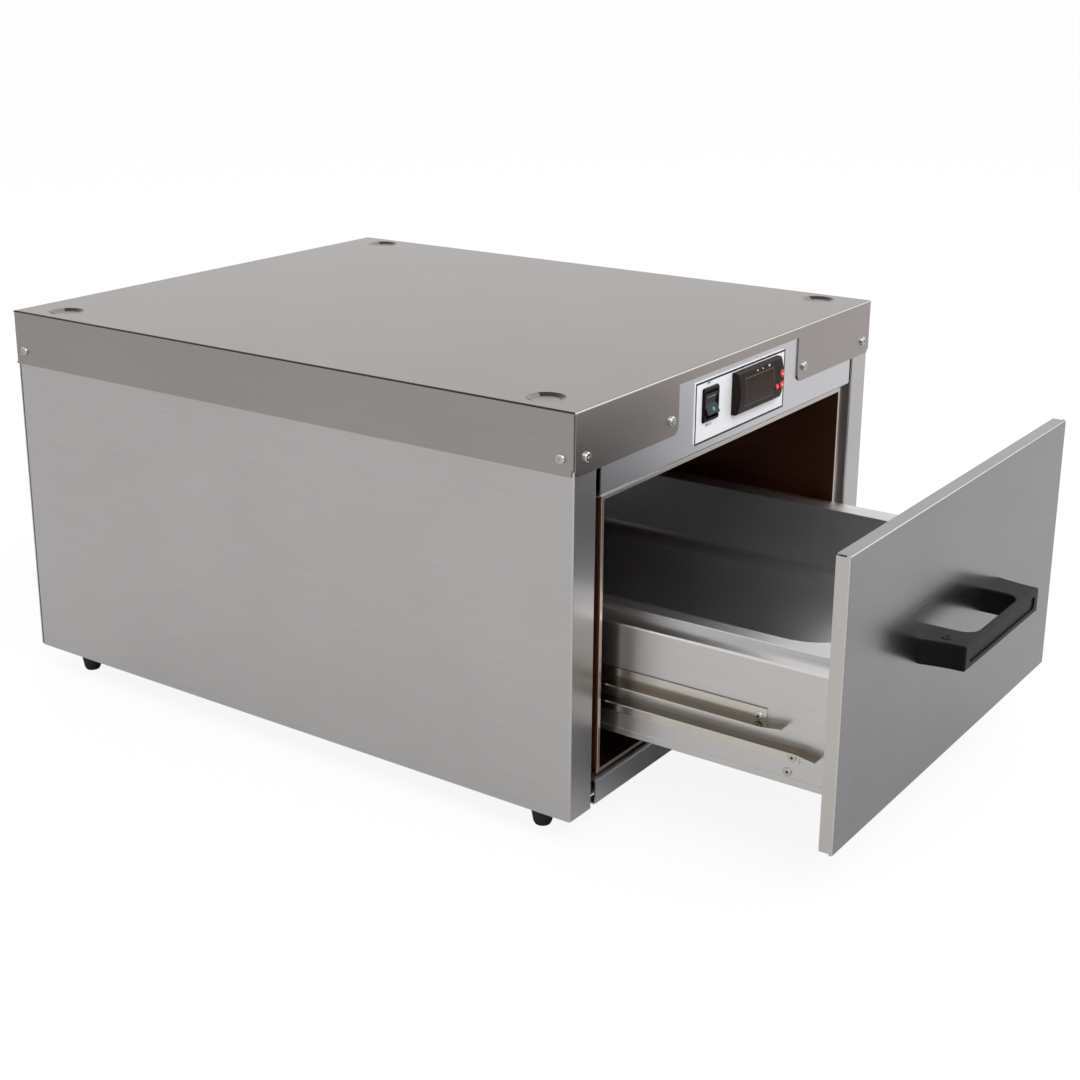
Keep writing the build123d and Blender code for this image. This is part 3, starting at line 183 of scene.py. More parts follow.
@dataclass(frozen=True)
class BrushedSheet(Finish):
    """Stainless sheet, belt-brushed: fine parallel scratches that soften what it mirrors."""

    roughness: float = 0.33
    grain: Grain = Grain.DEPTH
    scratch_mm: float = 0.9  # drawn coarser than the real 0.1 mm, which is too fine to show
    scratch_length_mm: float = 70.0
    depth_mm: float = 0.02
    relief: float = 0.35
    swing: float = 0.03  # how far the roughness strays from scratch to scratch
    cloud_scale: float = 9.0  # clouds about 110 mm across, as a worn belt leaves them
    cloud_share: float = 0.35
    end: tuple[str, str] | None = None  # the two colours of painted light and shade on faces that the grain points through
    top: tuple[str, str] | None = None  # the two colours of painted shade on faces that look up
    fold: str | None = None  # colour of painted shade on the folds along the two sides of the top
    facing_from: float = 0.7  # a face looks along a direction from this share on
    fold_from: float = 0.2

    def paint(self, tree: Tree, shader: bpy.types.Node, coords: bpy.types.Node) -> None:
        """Draw the brushed sheet.

        Args:
            tree: The material's tree.
            shader: Its principled shader.
            coords: Its texture coordinates.
        """
        place, normal = coords.outputs["Object"], coords.outputs["Normal"]
        # A face that the brushing direction points through was brushed across the cabinet
        is_end = self.facing(tree, normal, self.grain, Facing.EITHER_WAY)
        streak = add_node(tree, "ShaderNodeMix", {
            "Factor": is_end, "A": self.scratches(tree, place, self.grain),
            "B": self.scratches(tree, place, Grain.WIDTH)}).outputs["Result"]
        cloud = add_node(tree, "ShaderNodeTexNoise", {
            "Vector": place, "Scale": self.cloud_scale, "Detail": 2.0})
        pattern = add_node(tree, "ShaderNodeMix", {
            "Factor": self.cloud_share, "A": streak, "B": cloud.outputs["Fac"]}).outputs["Result"]
        colour = self.shades(tree, pattern, self.low, self.high)
        # Painted light and shade: faces are given a lighter or darker colour by the way they look
        others = []
        if self.end:
            others.append((is_end, self.shades(tree, pattern, *self.end)))
        if self.top:
            is_shaded_top = self.facing(tree, normal, Grain.HEIGHT, Facing.ONE_WAY)
            others.append((is_shaded_top, self.shades(tree, pattern, *self.top)))
        if self.fold:
            others.append((self.on_fold(tree, normal), linear(self.fold)))
        for is_face, other in others:
            colour = add_node(tree, "ShaderNodeMix", {
                "Factor": is_face, MIX_A: colour, MIX_B: other},
                data_type="RGBA").outputs[MIX_RESULT]
        tree.links.new(colour, shader.inputs["Base Color"])
        rough = add_node(tree, "ShaderNodeMapRange", {
            "Value": streak, "From Min": 0.2, "From Max": 0.8,
            "To Min": self.roughness - self.swing, "To Max": self.roughness + self.swing})
        tree.links.new(rough.outputs["Result"], shader.inputs["Roughness"])
        self.relieve(tree, shader, streak, self.relief, self.depth_mm)
        shader.inputs["Metallic"].default_value = 1.0

    def facing(self, tree: Tree, normal: Socket, way: Grain, which: Facing) -> Socket:
        """Return one where a face looks along a direction.

        Args:
            tree: The material's tree.
            normal: The face's direction.
            way: The direction.
            which: Whether the opposite direction counts too.

        Returns:
            The factor's socket.
        """
        along = add_node(tree, "ShaderNodeVectorMath", {0: normal, 1: way.value},
                         operation="DOT_PRODUCT")
        size = add_node(tree, "ShaderNodeMath", {0: along.outputs["Value"]},
                        operation=which.value)
        return add_node(tree, "ShaderNodeMath", {0: size.outputs[0], 1: self.facing_from},
                        operation="GREATER_THAN").outputs[0]

    def on_fold(self, tree: Tree, normal: Socket) -> Socket:
        """Return one where a face leans both sideways and up, as only a side fold does, to place
        the folds' painted shade.

        Args:
            tree: The material's tree.
            normal: The face's direction.

        Returns:
            The factor's socket.
        """
        parts = add_node(tree, "ShaderNodeSeparateXYZ", {0: normal})
        lean = add_node(tree, "ShaderNodeMath", {0: parts.outputs["X"], 1: parts.outputs["Z"]},
                        operation="MULTIPLY")
        size = add_node(tree, "ShaderNodeMath", {0: lean.outputs[0]}, operation="ABSOLUTE")
        return add_node(tree, "ShaderNodeMath", {0: size.outputs[0], 1: self.fold_from},
                        operation="GREATER_THAN").outputs[0]

    def scratches(self, tree: Tree, place: Socket, along: Grain) -> Socket:
        """Draw streaks along one axis.

        Args:
            tree: The material's tree.
            place: The object coordinates.
            along: The direction of the streaks.

        Returns:
            The streaks' height.
        """
        scale = [1 / ((self.scratch_length_mm if on else self.scratch_mm) * MM)
                 for on in along.value]
        mapped = add_node(tree, "ShaderNodeMapping", {"Vector": place, "Scale": scale})
        return add_node(tree, "ShaderNodeTexNoise", {
            "Vector": mapped.outputs["Vector"], "Scale": 1.0, "Detail": 3.0,
            "Roughness": 0.6}).outputs["Fac"]


@dataclass(frozen=True)
class SmoothMetal(Finish):
    """Plated or drawn metal without a grain: an even sheen with faint clouding."""

    roughness: float = 0.25
    cloud_mm: float = 25.0
    pit_mm: float = 0.6
    depth_mm: float = 0.01
    relief: float = 0.3
    swing: float = 0.06  # how far the roughness strays with the clouding

    def paint(self, tree: Tree, shader: bpy.types.Node, coords: bpy.types.Node) -> None:
        """Draw the smooth metal.

        Args:
            tree: The material's tree.
            shader: Its principled shader.
            coords: Its texture coordinates.
        """
        place = coords.outputs["Object"]
        cloud = add_node(tree, "ShaderNodeTexNoise", {
            "Vector": place, "Scale": 1 / (self.cloud_mm * MM), "Detail": 3.0}).outputs["Fac"]
        tree.links.new(self.shades(tree, cloud, self.low, self.high), shader.inputs["Base Color"])
        rough = add_node(tree, "ShaderNodeMapRange", {
            "Value": cloud, "To Min": self.roughness - self.swing,
            "To Max": self.roughness + self.swing})
        tree.links.new(rough.outputs["Result"], shader.inputs["Roughness"])
        pits = add_node(tree, "ShaderNodeTexNoise", {
            "Vector": place, "Scale": 1 / (self.pit_mm * MM)})
        self.relieve(tree, shader, pits.outputs["Fac"], self.relief, self.depth_mm)
        shader.inputs["Metallic"].default_value = 1.0


@dataclass(frozen=True)
class Moulded(Finish):
    """Moulded plastic, rubber or print: a spark-eroded grain breaks up the sheen."""

    roughness: float = 0.45
    pebble_mm: float = 1.1  # drawn coarser than the real 0.1 mm, which is too fine to show
    depth_mm: float = 0.06
    relief: float = 0.5
    smoother: float = 0.04  # how far the roughness falls in the troughs
    rougher: float = 0.08  # and rises on the crests
    ior: float = 1.5
    shine: float = 0.5
    glow: str | None = None
    glow_strength: float = 0.6

    def paint(self, tree: Tree, shader: bpy.types.Node, coords: bpy.types.Node) -> None:
        """Draw the moulded surface.

        Args:
            tree: The material's tree.
            shader: Its principled shader.
            coords: Its texture coordinates.
        """
        pebble = add_node(tree, "ShaderNodeTexVoronoi", {
            "Vector": coords.outputs["Object"], "Scale": 1 / (self.pebble_mm * MM)},
            feature="SMOOTH_F1").outputs["Distance"]
        tree.links.new(self.shades(tree, pebble, self.low, self.high), shader.inputs["Base Color"])
        rough = add_node(tree, "ShaderNodeMapRange", {
            "Value": pebble, "To Min": self.roughness - self.smoother,
            "To Max": self.roughness + self.rougher})
        tree.links.new(rough.outputs["Result"], shader.inputs["Roughness"])
        self.relieve(tree, shader, pebble, self.relief, self.depth_mm)
        shader.inputs["IOR"].default_value = self.ior
        shader.inputs["Specular IOR Level"].default_value = self.shine
        if self.glow:
            shader.inputs["Emission Color"].default_value = linear(self.glow)
            shader.inputs["Emission Strength"].default_value = self.glow_strength


@dataclass(frozen=True)
class GlassFibre(Finish):
    """Needled glass-fibre blanket: matted pale strands with no gloss."""

    roughness: float = 0.95
    strand_mm: float = 1.2  # a tuft of strands, because one is too fine to show
    strand_length_mm: float = 14.0
    depth_mm: float = 0.6
    relief: float = 0.8
    turns: Point = (0.4, 1.5, -0.7)  # how the three layers of strands lie, in radians

    def paint(self, tree: Tree, shader: bpy.types.Node, coords: bpy.types.Node) -> None:
        """Draw the blanket.

        Args:
            tree: The material's tree.
            shader: Its principled shader.
            coords: Its texture coordinates.
        """
        scale = [1 / (size * MM) for size in
                 (self.strand_length_mm, self.strand_mm, self.strand_mm)]
        strands = None
        for turn in self.turns:
            mapped = add_node(tree, "ShaderNodeMapping", {
                "Vector": coords.outputs["Object"], "Scale": scale, "Rotation": (turn,) * 3})
            layer = add_node(tree, "ShaderNodeTexNoise", {
                "Vector": mapped.outputs["Vector"], "Scale": 1.0, "Detail": 3.0}).outputs["Fac"]
            strands = layer if strands is None else add_node(
                tree, "ShaderNodeMath", {0: strands, 1: layer}, operation="MAXIMUM").outputs[0]
        tree.links.new(self.shades(tree, strands, self.low, self.high),
                       shader.inputs["Base Color"])
        self.relieve(tree, shader, strands, self.relief, self.depth_mm)
        shader.inputs["Roughness"].default_value = self.roughness


class Finishes:
    """Every finish of the object, each made once."""

    def __init__(self) -> None:
        """Make the materials of the sheets, the fittings, the plastics and the prints."""
        self.make_sheets()
        self.make_fittings()
        self.make_plastics()
        self.make_prints()

    def make_sheets(self) -> None:
        """Make the stainless sheets."""
        # Warm, evenly brushed grey. Painted shade: faces that look up are a darker grey, the front
        # and back faces a little darker, and the side folds are painted nearly black so they read
        # as lines of shade
        self.cover = BrushedSheet(
            "brushed_stainless_cover", "A29D9A", "ABA6A3", roughness=0.29, scratch_mm=0.6,
            depth_mm=0.002, end=("A09996", "A8A19E"), top=("898481", "928D8A"),
            fold="3B3633").material()
        # Paler sheet with long lengthwise scratches that spread the light downwards
        self.side = BrushedSheet("brushed_stainless_side", "BDBBBA", "C9C7C6").material()
        # Smoother and darker, so that the handle mirrors in it; its folded side edges carry a
        # painted highlight in a paler colour
        self.front = BrushedSheet(
            "brushed_stainless_drawer_front", "8C8A8B", "9A999C", roughness=0.24,
            grain=Grain.WIDTH, end=("C2BEBA", "CFCBC7")).material()
        # The brightest sheet: cool and even behind the control plate
        self.header = BrushedSheet(
            "bright_stainless_header", "CFCED2", "DAD9DD", grain=Grain.WIDTH).material()
        # Light satin walls with a soft sheen
        self.drawer = BrushedSheet(
            "brushed_stainless_drawer", "CDCBC9", "D8D6D4", roughness=0.3).material()
        # Painted reflection: the inside is coloured brown as a reflection of food, and its hemmed
        # mouth is painted bright as a highlight
        self.liner = BrushedSheet(
            "stainless_liner_painted_reflections", "7A4C38", "94624C", roughness=0.34,
            end=("BDB6AE", "D6D0C8")).material()
        # Rolled strip with a bright edge; its upper side is painted dark as shade
        self.rail = BrushedSheet(
            "rolled_steel_rail", "CEC9C0", "DFDAD1", roughness=0.22,
            top=("4E463D", "7A7064")).material()

    def make_fittings(self) -> None:
        """Make the smooth metals and the blanket."""
        # Drawing has wiped out the grain: a broad, cool, even sheen
        self.pan = SmoothMetal("deep_drawn_stainless_pan", "CBCCCF", "D2D3D5", roughness=0.34,
                               cloud_mm=60.0, swing=0.02).material()
        # A dull even silver with hardly any clouding
        self.plated = SmoothMetal("zinc_plated_steel", "BFBEBD", "CAC9C8", roughness=0.28,
                                  cloud_mm=90.0, swing=0.025).material()
        # Small heads that catch a sharp highlight
        self.screw = SmoothMetal(
            "nickel_plated_screws", "B5B4B2", "D2D1CF", roughness=0.18).material()
        # Scaled by heat: nearly black, with a dull shine; on the rivets' mandrels the same
        # near-black is painted shade of their hollow heads
        self.sheath = SmoothMetal(
            "oxidised_sheath_and_painted_rivet_shade", "2E2A26", "453E37", roughness=0.45).material()
        # Matted straw-coloured strands without gloss
        self.fibre = GlassFibre("glass_fibre_blanket", "B9A66B", "EADFB4").material()

    def make_plastics(self) -> None:
        """Make the plastics and rubbers."""
        # The handle and the switch frame: deep black with a low, pebbled sheen
        self.abs = Moulded("black_glass_filled_nylon", "08080A", "111113", roughness=0.36,
                           ior=1.45, shine=0.12).material()
        # Brownish black with a softer face than the handle's
        self.housing = Moulded("charcoal_abs_housing", "1C1412", "261D1A", roughness=0.34,
                               depth_mm=0.01, ior=1.45, shine=0.1).material()
        # Polished, so that the rocker shows its curve
        self.rocker = Moulded("black_polycarbonate_rocker", "101016", "18181F", roughness=0.26,
                              depth_mm=0.01, shine=0.18).material()
        # A dark brown pane, smoother than what surrounds it
        self.window = Moulded("smoked_acrylic_window", "2A1F18", "33271F", roughness=0.2,
                              shine=0.07, depth_mm=0.002).material()
        # Saturated red domes with a small highlight
        self.button = Moulded("red_silicone_button", "B3100D", "E0261D", roughness=0.3,
                              depth_mm=0.01).material()
        # Dull black that swallows the light
        self.rubber = Moulded("black_nitrile_rubber", "121212", "232323", roughness=0.7,
                              pebble_mm=0.8).material()
        # Waxy off-white
        self.nylon = Moulded("natural_nylon_roller", "CFCBBE", "E2DED2", roughness=0.4,
                             depth_mm=0.02).material()
        # A clear teal dome that glows a little, as with its pilot lamp on
        self.lens = Moulded("teal_pilot_lens", "0C6A66", "2FB7AC", roughness=0.15,
                            depth_mm=0.002, glow="1C8F86").material()

    def make_prints(self) -> None:
        """Make the label and the inks."""
        # Nearly white, with a faint satin sheen
        self.plate = Moulded("satin_silver_label", "EAEAEE", "F2F2F5", roughness=0.4,
                             depth_mm=0.003).material()
        # Inks lie flat and matt on what they are printed on
        self.line = Moulded("window_edge_print", "5A483E", "6E5A4E", roughness=0.35,
                            depth_mm=0.003).material()
        self.ink = Moulded("black_screen_ink", "0E0E10", "1A1A1C", roughness=0.5,
                           depth_mm=0.005).material()
        self.grey = Moulded("grey_pad_print", "8C8C8A", "A2A2A0", roughness=0.5,
                            depth_mm=0.005).material()
        self.mark = Moulded("white_pad_print", "D8D8D6", "EFEFEC", roughness=0.5,
                            depth_mm=0.005).material()


def dress(names: list[str], material: Material) -> None:
    """Give CAD nodes a material.

    Args:
        names: The nodes.
        material: What they are made of.
    """
    for name in names:
        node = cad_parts[name]
        node.data.materials.clear()
        node.data.materials.append(material)
        LOG.info("dressed %s in %s", name, material.name)


def piece(name: str, mesh: Mesh, material: Material, body: str) -> bpy.types.Object:
    """Turn a finished bmesh to a piece of the object.

    Args:
        name: The piece's name.
        mesh: Its shape, already in place.
        material: Its finish.
        body: The CAD body that it rides on.

    Returns:
        The new object.
    """
    bmesh.ops.remove_doubles(mesh, verts=mesh.verts, dist=WELD)
    bmesh.ops.recalc_face_normals(mesh, faces=mesh.faces)
    made = place_mesh(name, mesh)
    made.data.materials.append(material)
    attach(made, body)
    LOG.info("built %s on %s", name, body)
    return made


def place_mesh(name: str, mesh: Mesh) -> bpy.types.Object:
    """Put a bmesh in the scene as an object, and free it.

    Args:
        name: The object's name.
        mesh: Its shape, already in place.

    Returns:
        The new object.
    """
    data = bpy.data.meshes.new(name)
    mesh.to_mesh(data)
    mesh.free()
    made = bpy.data.objects.new(name, data)
    bpy.context.scene.collection.objects.link(made)
    return made


def grow(mesh: Mesh, faces: list[bmesh.types.BMFace], way: Point) -> None:
    """Extrude faces along a vector.

    Args:
        mesh: The shape.
        faces: Those of its faces that grow.
        way: How far and where they go.
    """
    grown = bmesh.ops.extrude_face_region(mesh, geom=faces)
    moved = [v for v in grown["geom"] if isinstance(v, bmesh.types.BMVert)]
    bmesh.ops.translate(mesh, vec=way, verts=moved)


def soften(mesh: Mesh, edges: list[bmesh.types.BMEdge], width: float, segments: int = 2) -> None:
    """Round edges of a shape.

    Args:
        mesh: The shape.
        edges: Those of its edges that are rounded.
        width: How far the rounding reaches from each.
        segments: Steps of the rounding.
    """
    bmesh.ops.bevel(mesh, geom=edges, offset=width, segments=segments, profile=0.5, material=-1,
                    affect="EDGES", clamp_overlap=True)


def box_mesh(low: Point, high: Point, edge: float = 0.0) -> Mesh:
    """Make a block between two corners.

    Args:
        low: Its lowest corner.
        high: Its highest corner.
        edge: Radius of its edges, or 0 to leave them sharp.

    Returns:
        The block.
    """
    mesh = bmesh.new()
    bmesh.ops.create_cube(mesh, size=1.0)
    middle = (Vector(low) + Vector(high)) / 2
    bmesh.ops.scale(mesh, vec=Vector(high) - Vector(low), verts=mesh.verts)
    bmesh.ops.translate(mesh, vec=middle, verts=mesh.verts)
    if edge:
        soften(mesh, list(mesh.edges), edge)
    return mesh


def lathe(profile: Outline, place: Point, axis: Point, steps: int = 48) -> Mesh:
    """Spin a profile round an axis.

    Args:
        profile: Pairs of radius and height above the place, from the axis outwards.
        place: Where height is zero.
        axis: Direction of the axis.
        steps: Facets round the circle.

    Returns:
        The spun shape.
    """
    mesh = bmesh.new()
    verts = [mesh.verts.new((radius, 0.0, height)) for radius, height in profile]
    edges = [mesh.edges.new(pair) for pair in zip(verts, verts[1:])]
    bmesh.ops.spin(mesh, geom=verts + edges, axis=(0, 0, 1), cent=(0, 0, 0), steps=steps,
                   angle=math.tau, use_merge=True)
    bmesh.ops.remove_doubles(mesh, verts=mesh.verts, dist=WELD)
    turn = Vector(axis).to_track_quat("Z", "Y").to_matrix()
    bmesh.ops.rotate(mesh, matrix=turn, cent=(0, 0, 0), verts=mesh.verts)
    bmesh.ops.translate(mesh, vec=place, verts=mesh.verts)
    return mesh


def prism(outline: Outline, y: float, depth: float) -> Mesh:
    """Make a thin flat mark that stands on an upright face.

    Args:
        outline: Corners as x and z.
        y: Where its back lies.
        depth: How far it stands towards -Y.

    Returns:
        The mark.
    """
    mesh = bmesh.new()
    face = mesh.faces.new([mesh.verts.new((x, y, z)) for x, z in outline])
    grow(mesh, [face], (0, -depth, 0))
    return mesh


def join(parts: list[Mesh]) -> Mesh:
    """Put several shapes in one.

    Args:
        parts: The shapes, which are freed.

    Returns:
        The whole.
    """
    whole = bmesh.new()
    for part in parts:
        data = bpy.data.meshes.new("part")
        part.to_mesh(data)
        part.free()
        whole.from_mesh(data)
        bpy.data.meshes.remove(data)
    return whole


def ellipse(middle: tuple[float, float], radii: tuple[float, float], steps: int) -> Outline:
    """Draw an ellipse on an upright face.

    Args:
        middle: Its middle as x and z.
        radii: Its radii along x and z.
        steps: How many corners it has.

    Returns:
        The corners.
    """
    turns = [math.tau * i / steps for i in range(steps)]
    return [(middle[0] + radii[0] * math.cos(a), middle[1] + radii[1] * math.sin(a))
            for a in turns]


def lettering(words: str, height: float, place: Point, turn: Euler) -> Mesh:
    """Make plain letters as a thin mesh.

    Args:
        words: What is printed, generic only.
        height: Height of the capitals.
        place: Middle of the words.
        turn: How the flat letters are turned.

    Returns:
        The letters' mesh.
    """
    curve = bpy.data.curves.new("letters", "FONT")
    curve.body = words
    curve.size = height * 1.4  # the font's capitals are 0.7 of its size
    curve.align_x = "CENTER"
    curve.align_y = "CENTER"
    curve.extrude = 0.03 * MM
    curve.offset = 0.04 * height  # thickens the strokes
    curve.resolution_u = 3
    holder = bpy.data.objects.new("letters", curve)
    bpy.context.scene.collection.objects.link(holder)
    bpy.context.view_layer.update()
    depsgraph = bpy.context.evaluated_depsgraph_get()
    data = bpy.data.meshes.new_from_object(holder.evaluated_get(depsgraph))
    data.transform(Matrix.Translation(place) @ turn.to_matrix().to_4x4())
    mesh = bmesh.new()
    mesh.from_mesh(data)
    bpy.data.objects.remove(holder)
    bpy.data.curves.remove(curve)
    bpy.data.meshes.remove(data)
    return mesh


@dataclass
class Blankets:
    """Soft glass-fibre blankets in the places of plain solids."""

    finishes: Finishes
    edge_round: float = 2.5 * MM
    wave_depth: float = 1.2 * MM
    wave_length: float = 45 * MM
    cell: float = 14 * MM

    def replace(self, node: str, body: str) -> None:
        """Replace a blanket's solid by a soft mesh of the same size.

        Args:
            node: The CAD node.
            body: The body that it rides on.
        """
        low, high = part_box(node)
        size = high - low
        thin = min(range(3), key=lambda axis: size[axis])
        mesh = box_mesh(low, high)
        self.divide(mesh, size, thin)
        self.ruffle(mesh, (low + high) / 2, size, thin)
        made = piece(f"{node}_fibre", mesh, self.finishes.fibre, body)
        for face in made.data.polygons:
            face.use_smooth = True
        rounding = made.modifiers.new("round", "BEVEL")
        rounding.width = self.edge_round
        rounding.segments = 2
        rounding.angle_limit = math.radians(50)
        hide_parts(node)

    def divide(self, mesh: Mesh, size: Vector, thin: int) -> None:
        """Cut a block's broad sides into cells.

        Args:
            mesh: The block.
            size: Its size.
            thin: The axis of its thickness, which is cut once.
        """
        for axis in range(3):
            cuts = 1 if axis == thin else max(1, round(size[axis] / self.cell) - 1)
            edges = [e for e in mesh.edges
                     if abs((e.verts[0].co - e.verts[1].co).normalized()[axis]) > 0.9]
            bmesh.ops.subdivide_edges(mesh, edges=edges, cuts=cuts, use_grid_fill=True)

    def ruffle(self, mesh: Mesh, middle: Vector, size: Vector, thin: int) -> None:
        """Press waves into the broad sides and draw in the edges.

        Args:
            mesh: The divided block.
            middle: Its middle.
            size: Its size.
            thin: The axis of its thickness.
        """
        for vert in mesh.verts:
            reach = [abs(vert.co[i] - middle[i]) / (size[i] / 2) for i in range(3)]
            inward = middle - vert.co
            wave = 0.5 + 0.5 * noise.noise(vert.co / self.wave_length)
            if reach[thin] > 0.9:
                vert.co[thin] += math.copysign(self.wave_depth * wave, inward[thin])
            for axis in range(3):
                if axis != thin and reach[axis] > 0.99:
                    vert.co[axis] += math.copysign(self.wave_depth * (0.5 + wave), inward[axis])


@dataclass
class Cabinet:
    """Sheet shell, feet, liner and what they hold."""

    finishes: Finishes
    flange: float = 48.0 * MM  # height of the cover's front flange
    notch_half: float = 100.5 * MM
    corner_radius: float = 7.0 * MM
    cover_sheet: float = 1.0 * MM
    corner_steps: int = 12

    def build(self) -> None:
        """Dress the nodes, and make the blankets and the cover's corners."""
        use = self.finishes
        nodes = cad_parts
        dress(["top_cover"], use.cover)
        dress(["side_panel_left", "side_panel_right"], use.side)
        dress(["header_panel", "sill"], use.header)
        dress(["base_panel", "rear_panel", "element_clips"], use.plated)
        dress(["compartment_liner"], use.liner)
        dress(["cover_screws", "rear_panel_screws", "foot_screws"], use.screw)
        dress([n for n in nodes if n.startswith("foot_") and n != "foot_screws"], use.rubber)
        dress(["heating_element", "temperature_probe"], use.sheath)
        dress(["terminal_block", "cord_gland"], use.abs)
        for name in [n for n in nodes if n.startswith("insulation_")]:
            Blankets(use).replace(name, "root")
        self.corners()

    def corners(self) -> None:
        """Round the two inner corners of the cover's front flange outwards."""
        low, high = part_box("top_cover")
        foot = high.z - self.flange
        radius = self.corner_radius
        steps = [math.pi / 2 * i / self.corner_steps for i in range(self.corner_steps + 1)]
        for side, sign in (("left", -1), ("right", 1)):
            near, far = sign * self.notch_half, sign * (self.notch_half + radius)
            bulge = [(far - sign * radius * math.cos(a), foot + radius - radius * math.sin(a))
                     for a in steps]
            hollow = [(near + sign * radius * math.sin(a), foot + radius * math.cos(a))
                      for a in reversed(steps)]
            mesh = prism(bulge + hollow[1:-1], low.y + self.cover_sheet, self.cover_sheet)
            piece(f"cover_corner_{side}", mesh, self.finishes.cover, "root")


@dataclass
class PowerSwitch:
    """Rocker switch with its prints, pilot lens and light line."""

    finishes: Finishes
    letter_height: float = 2.2 * MM
    letter_gap: float = 3.0 * MM
    letter_sink: float = 0.02 * MM
    lens_radius: float = 1.7 * MM
    lens_drop: float = 4.2 * MM
    lens_offset: float = 1.5 * MM
    line_half: float = 6.4 * MM
    line_width: float = 0.6 * MM
    line_rise: float = 6.2 * MM

    def build(self) -> None:
        """Dress the frame and the rocker and add their marks."""
        use = self.finishes
        dress(["switch_frame"], use.abs)
        dress(["switch_rocker"], use.rocker)
        self.prints()
        self.lens()
        self.line()

    def prints(self) -> None:
        """Print ON and OFF above and below the switch."""
        low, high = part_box("switch_frame")
        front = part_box("control_plate")[0].y
        upright = Euler((math.pi / 2, 0, 0))
        x = low.x + 0.45 * (high.x - low.x)
        for words, z in (("ON  I", high.z + self.letter_gap), ("OFF  O", low.z - self.letter_gap)):
            mesh = lettering(words, self.letter_height, (x, front - self.letter_sink, z), upright)
            piece(f"print_{words.split()[0].lower()}", mesh, self.finishes.ink, "root")

    def lens(self) -> None:
        """Set the pilot lens in the lower half of the rocker."""
        radius = self.lens_radius
        place, normal = self.on_rocker(self.lens_offset, -self.lens_drop)
        profile = [(0.0, 0.55 * MM), (radius * 0.6, 0.45 * MM), (radius, 0.1 * MM),
                   (radius, -0.4 * MM), (0.0, -0.4 * MM)]
        made = piece("rocker_lens", lathe(profile, place, normal), self.finishes.lens, "rocker")
        made.data.shade_smooth()

    def line(self) -> None:
        """Lay the light line across the upper half of the rocker."""
        place, normal = self.on_rocker(0.0, self.line_rise)
        line = box_mesh((-self.line_half, -self.line_width / 2, -0.2 * MM),
                        (self.line_half, self.line_width / 2, 0.08 * MM), 0.05 * MM)
        across = Vector((1, 0, 0))
        turn = Matrix((across, normal.cross(across), normal)).transposed()
        bmesh.ops.rotate(line, matrix=turn, cent=(0, 0, 0), verts=line.verts)
        bmesh.ops.translate(line, vec=place, verts=line.verts)
        piece("rocker_line", line, self.finishes.grey, "rocker")

    def on_rocker(self, aside: float, above: float) -> tuple[Vector, Vector]:
        """Find the place and the outward direction of the rocker's face.

        Args:
            aside: How far to the right of its middle to look.
            above: How far above its middle to look.

        Returns:
            The point on its face and the face's direction.
        """
        low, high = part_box("switch_rocker")
        middle = (low + high) / 2
        start = Vector((middle.x + aside, low.y - 5 * MM, middle.z + above))
        hit, place, normal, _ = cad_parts["switch_rocker"].ray_cast(start, Vector((0, 1, 0)))
        if not hit:
            raise RuntimeError("the rocker's face was missed")
        return place, normal


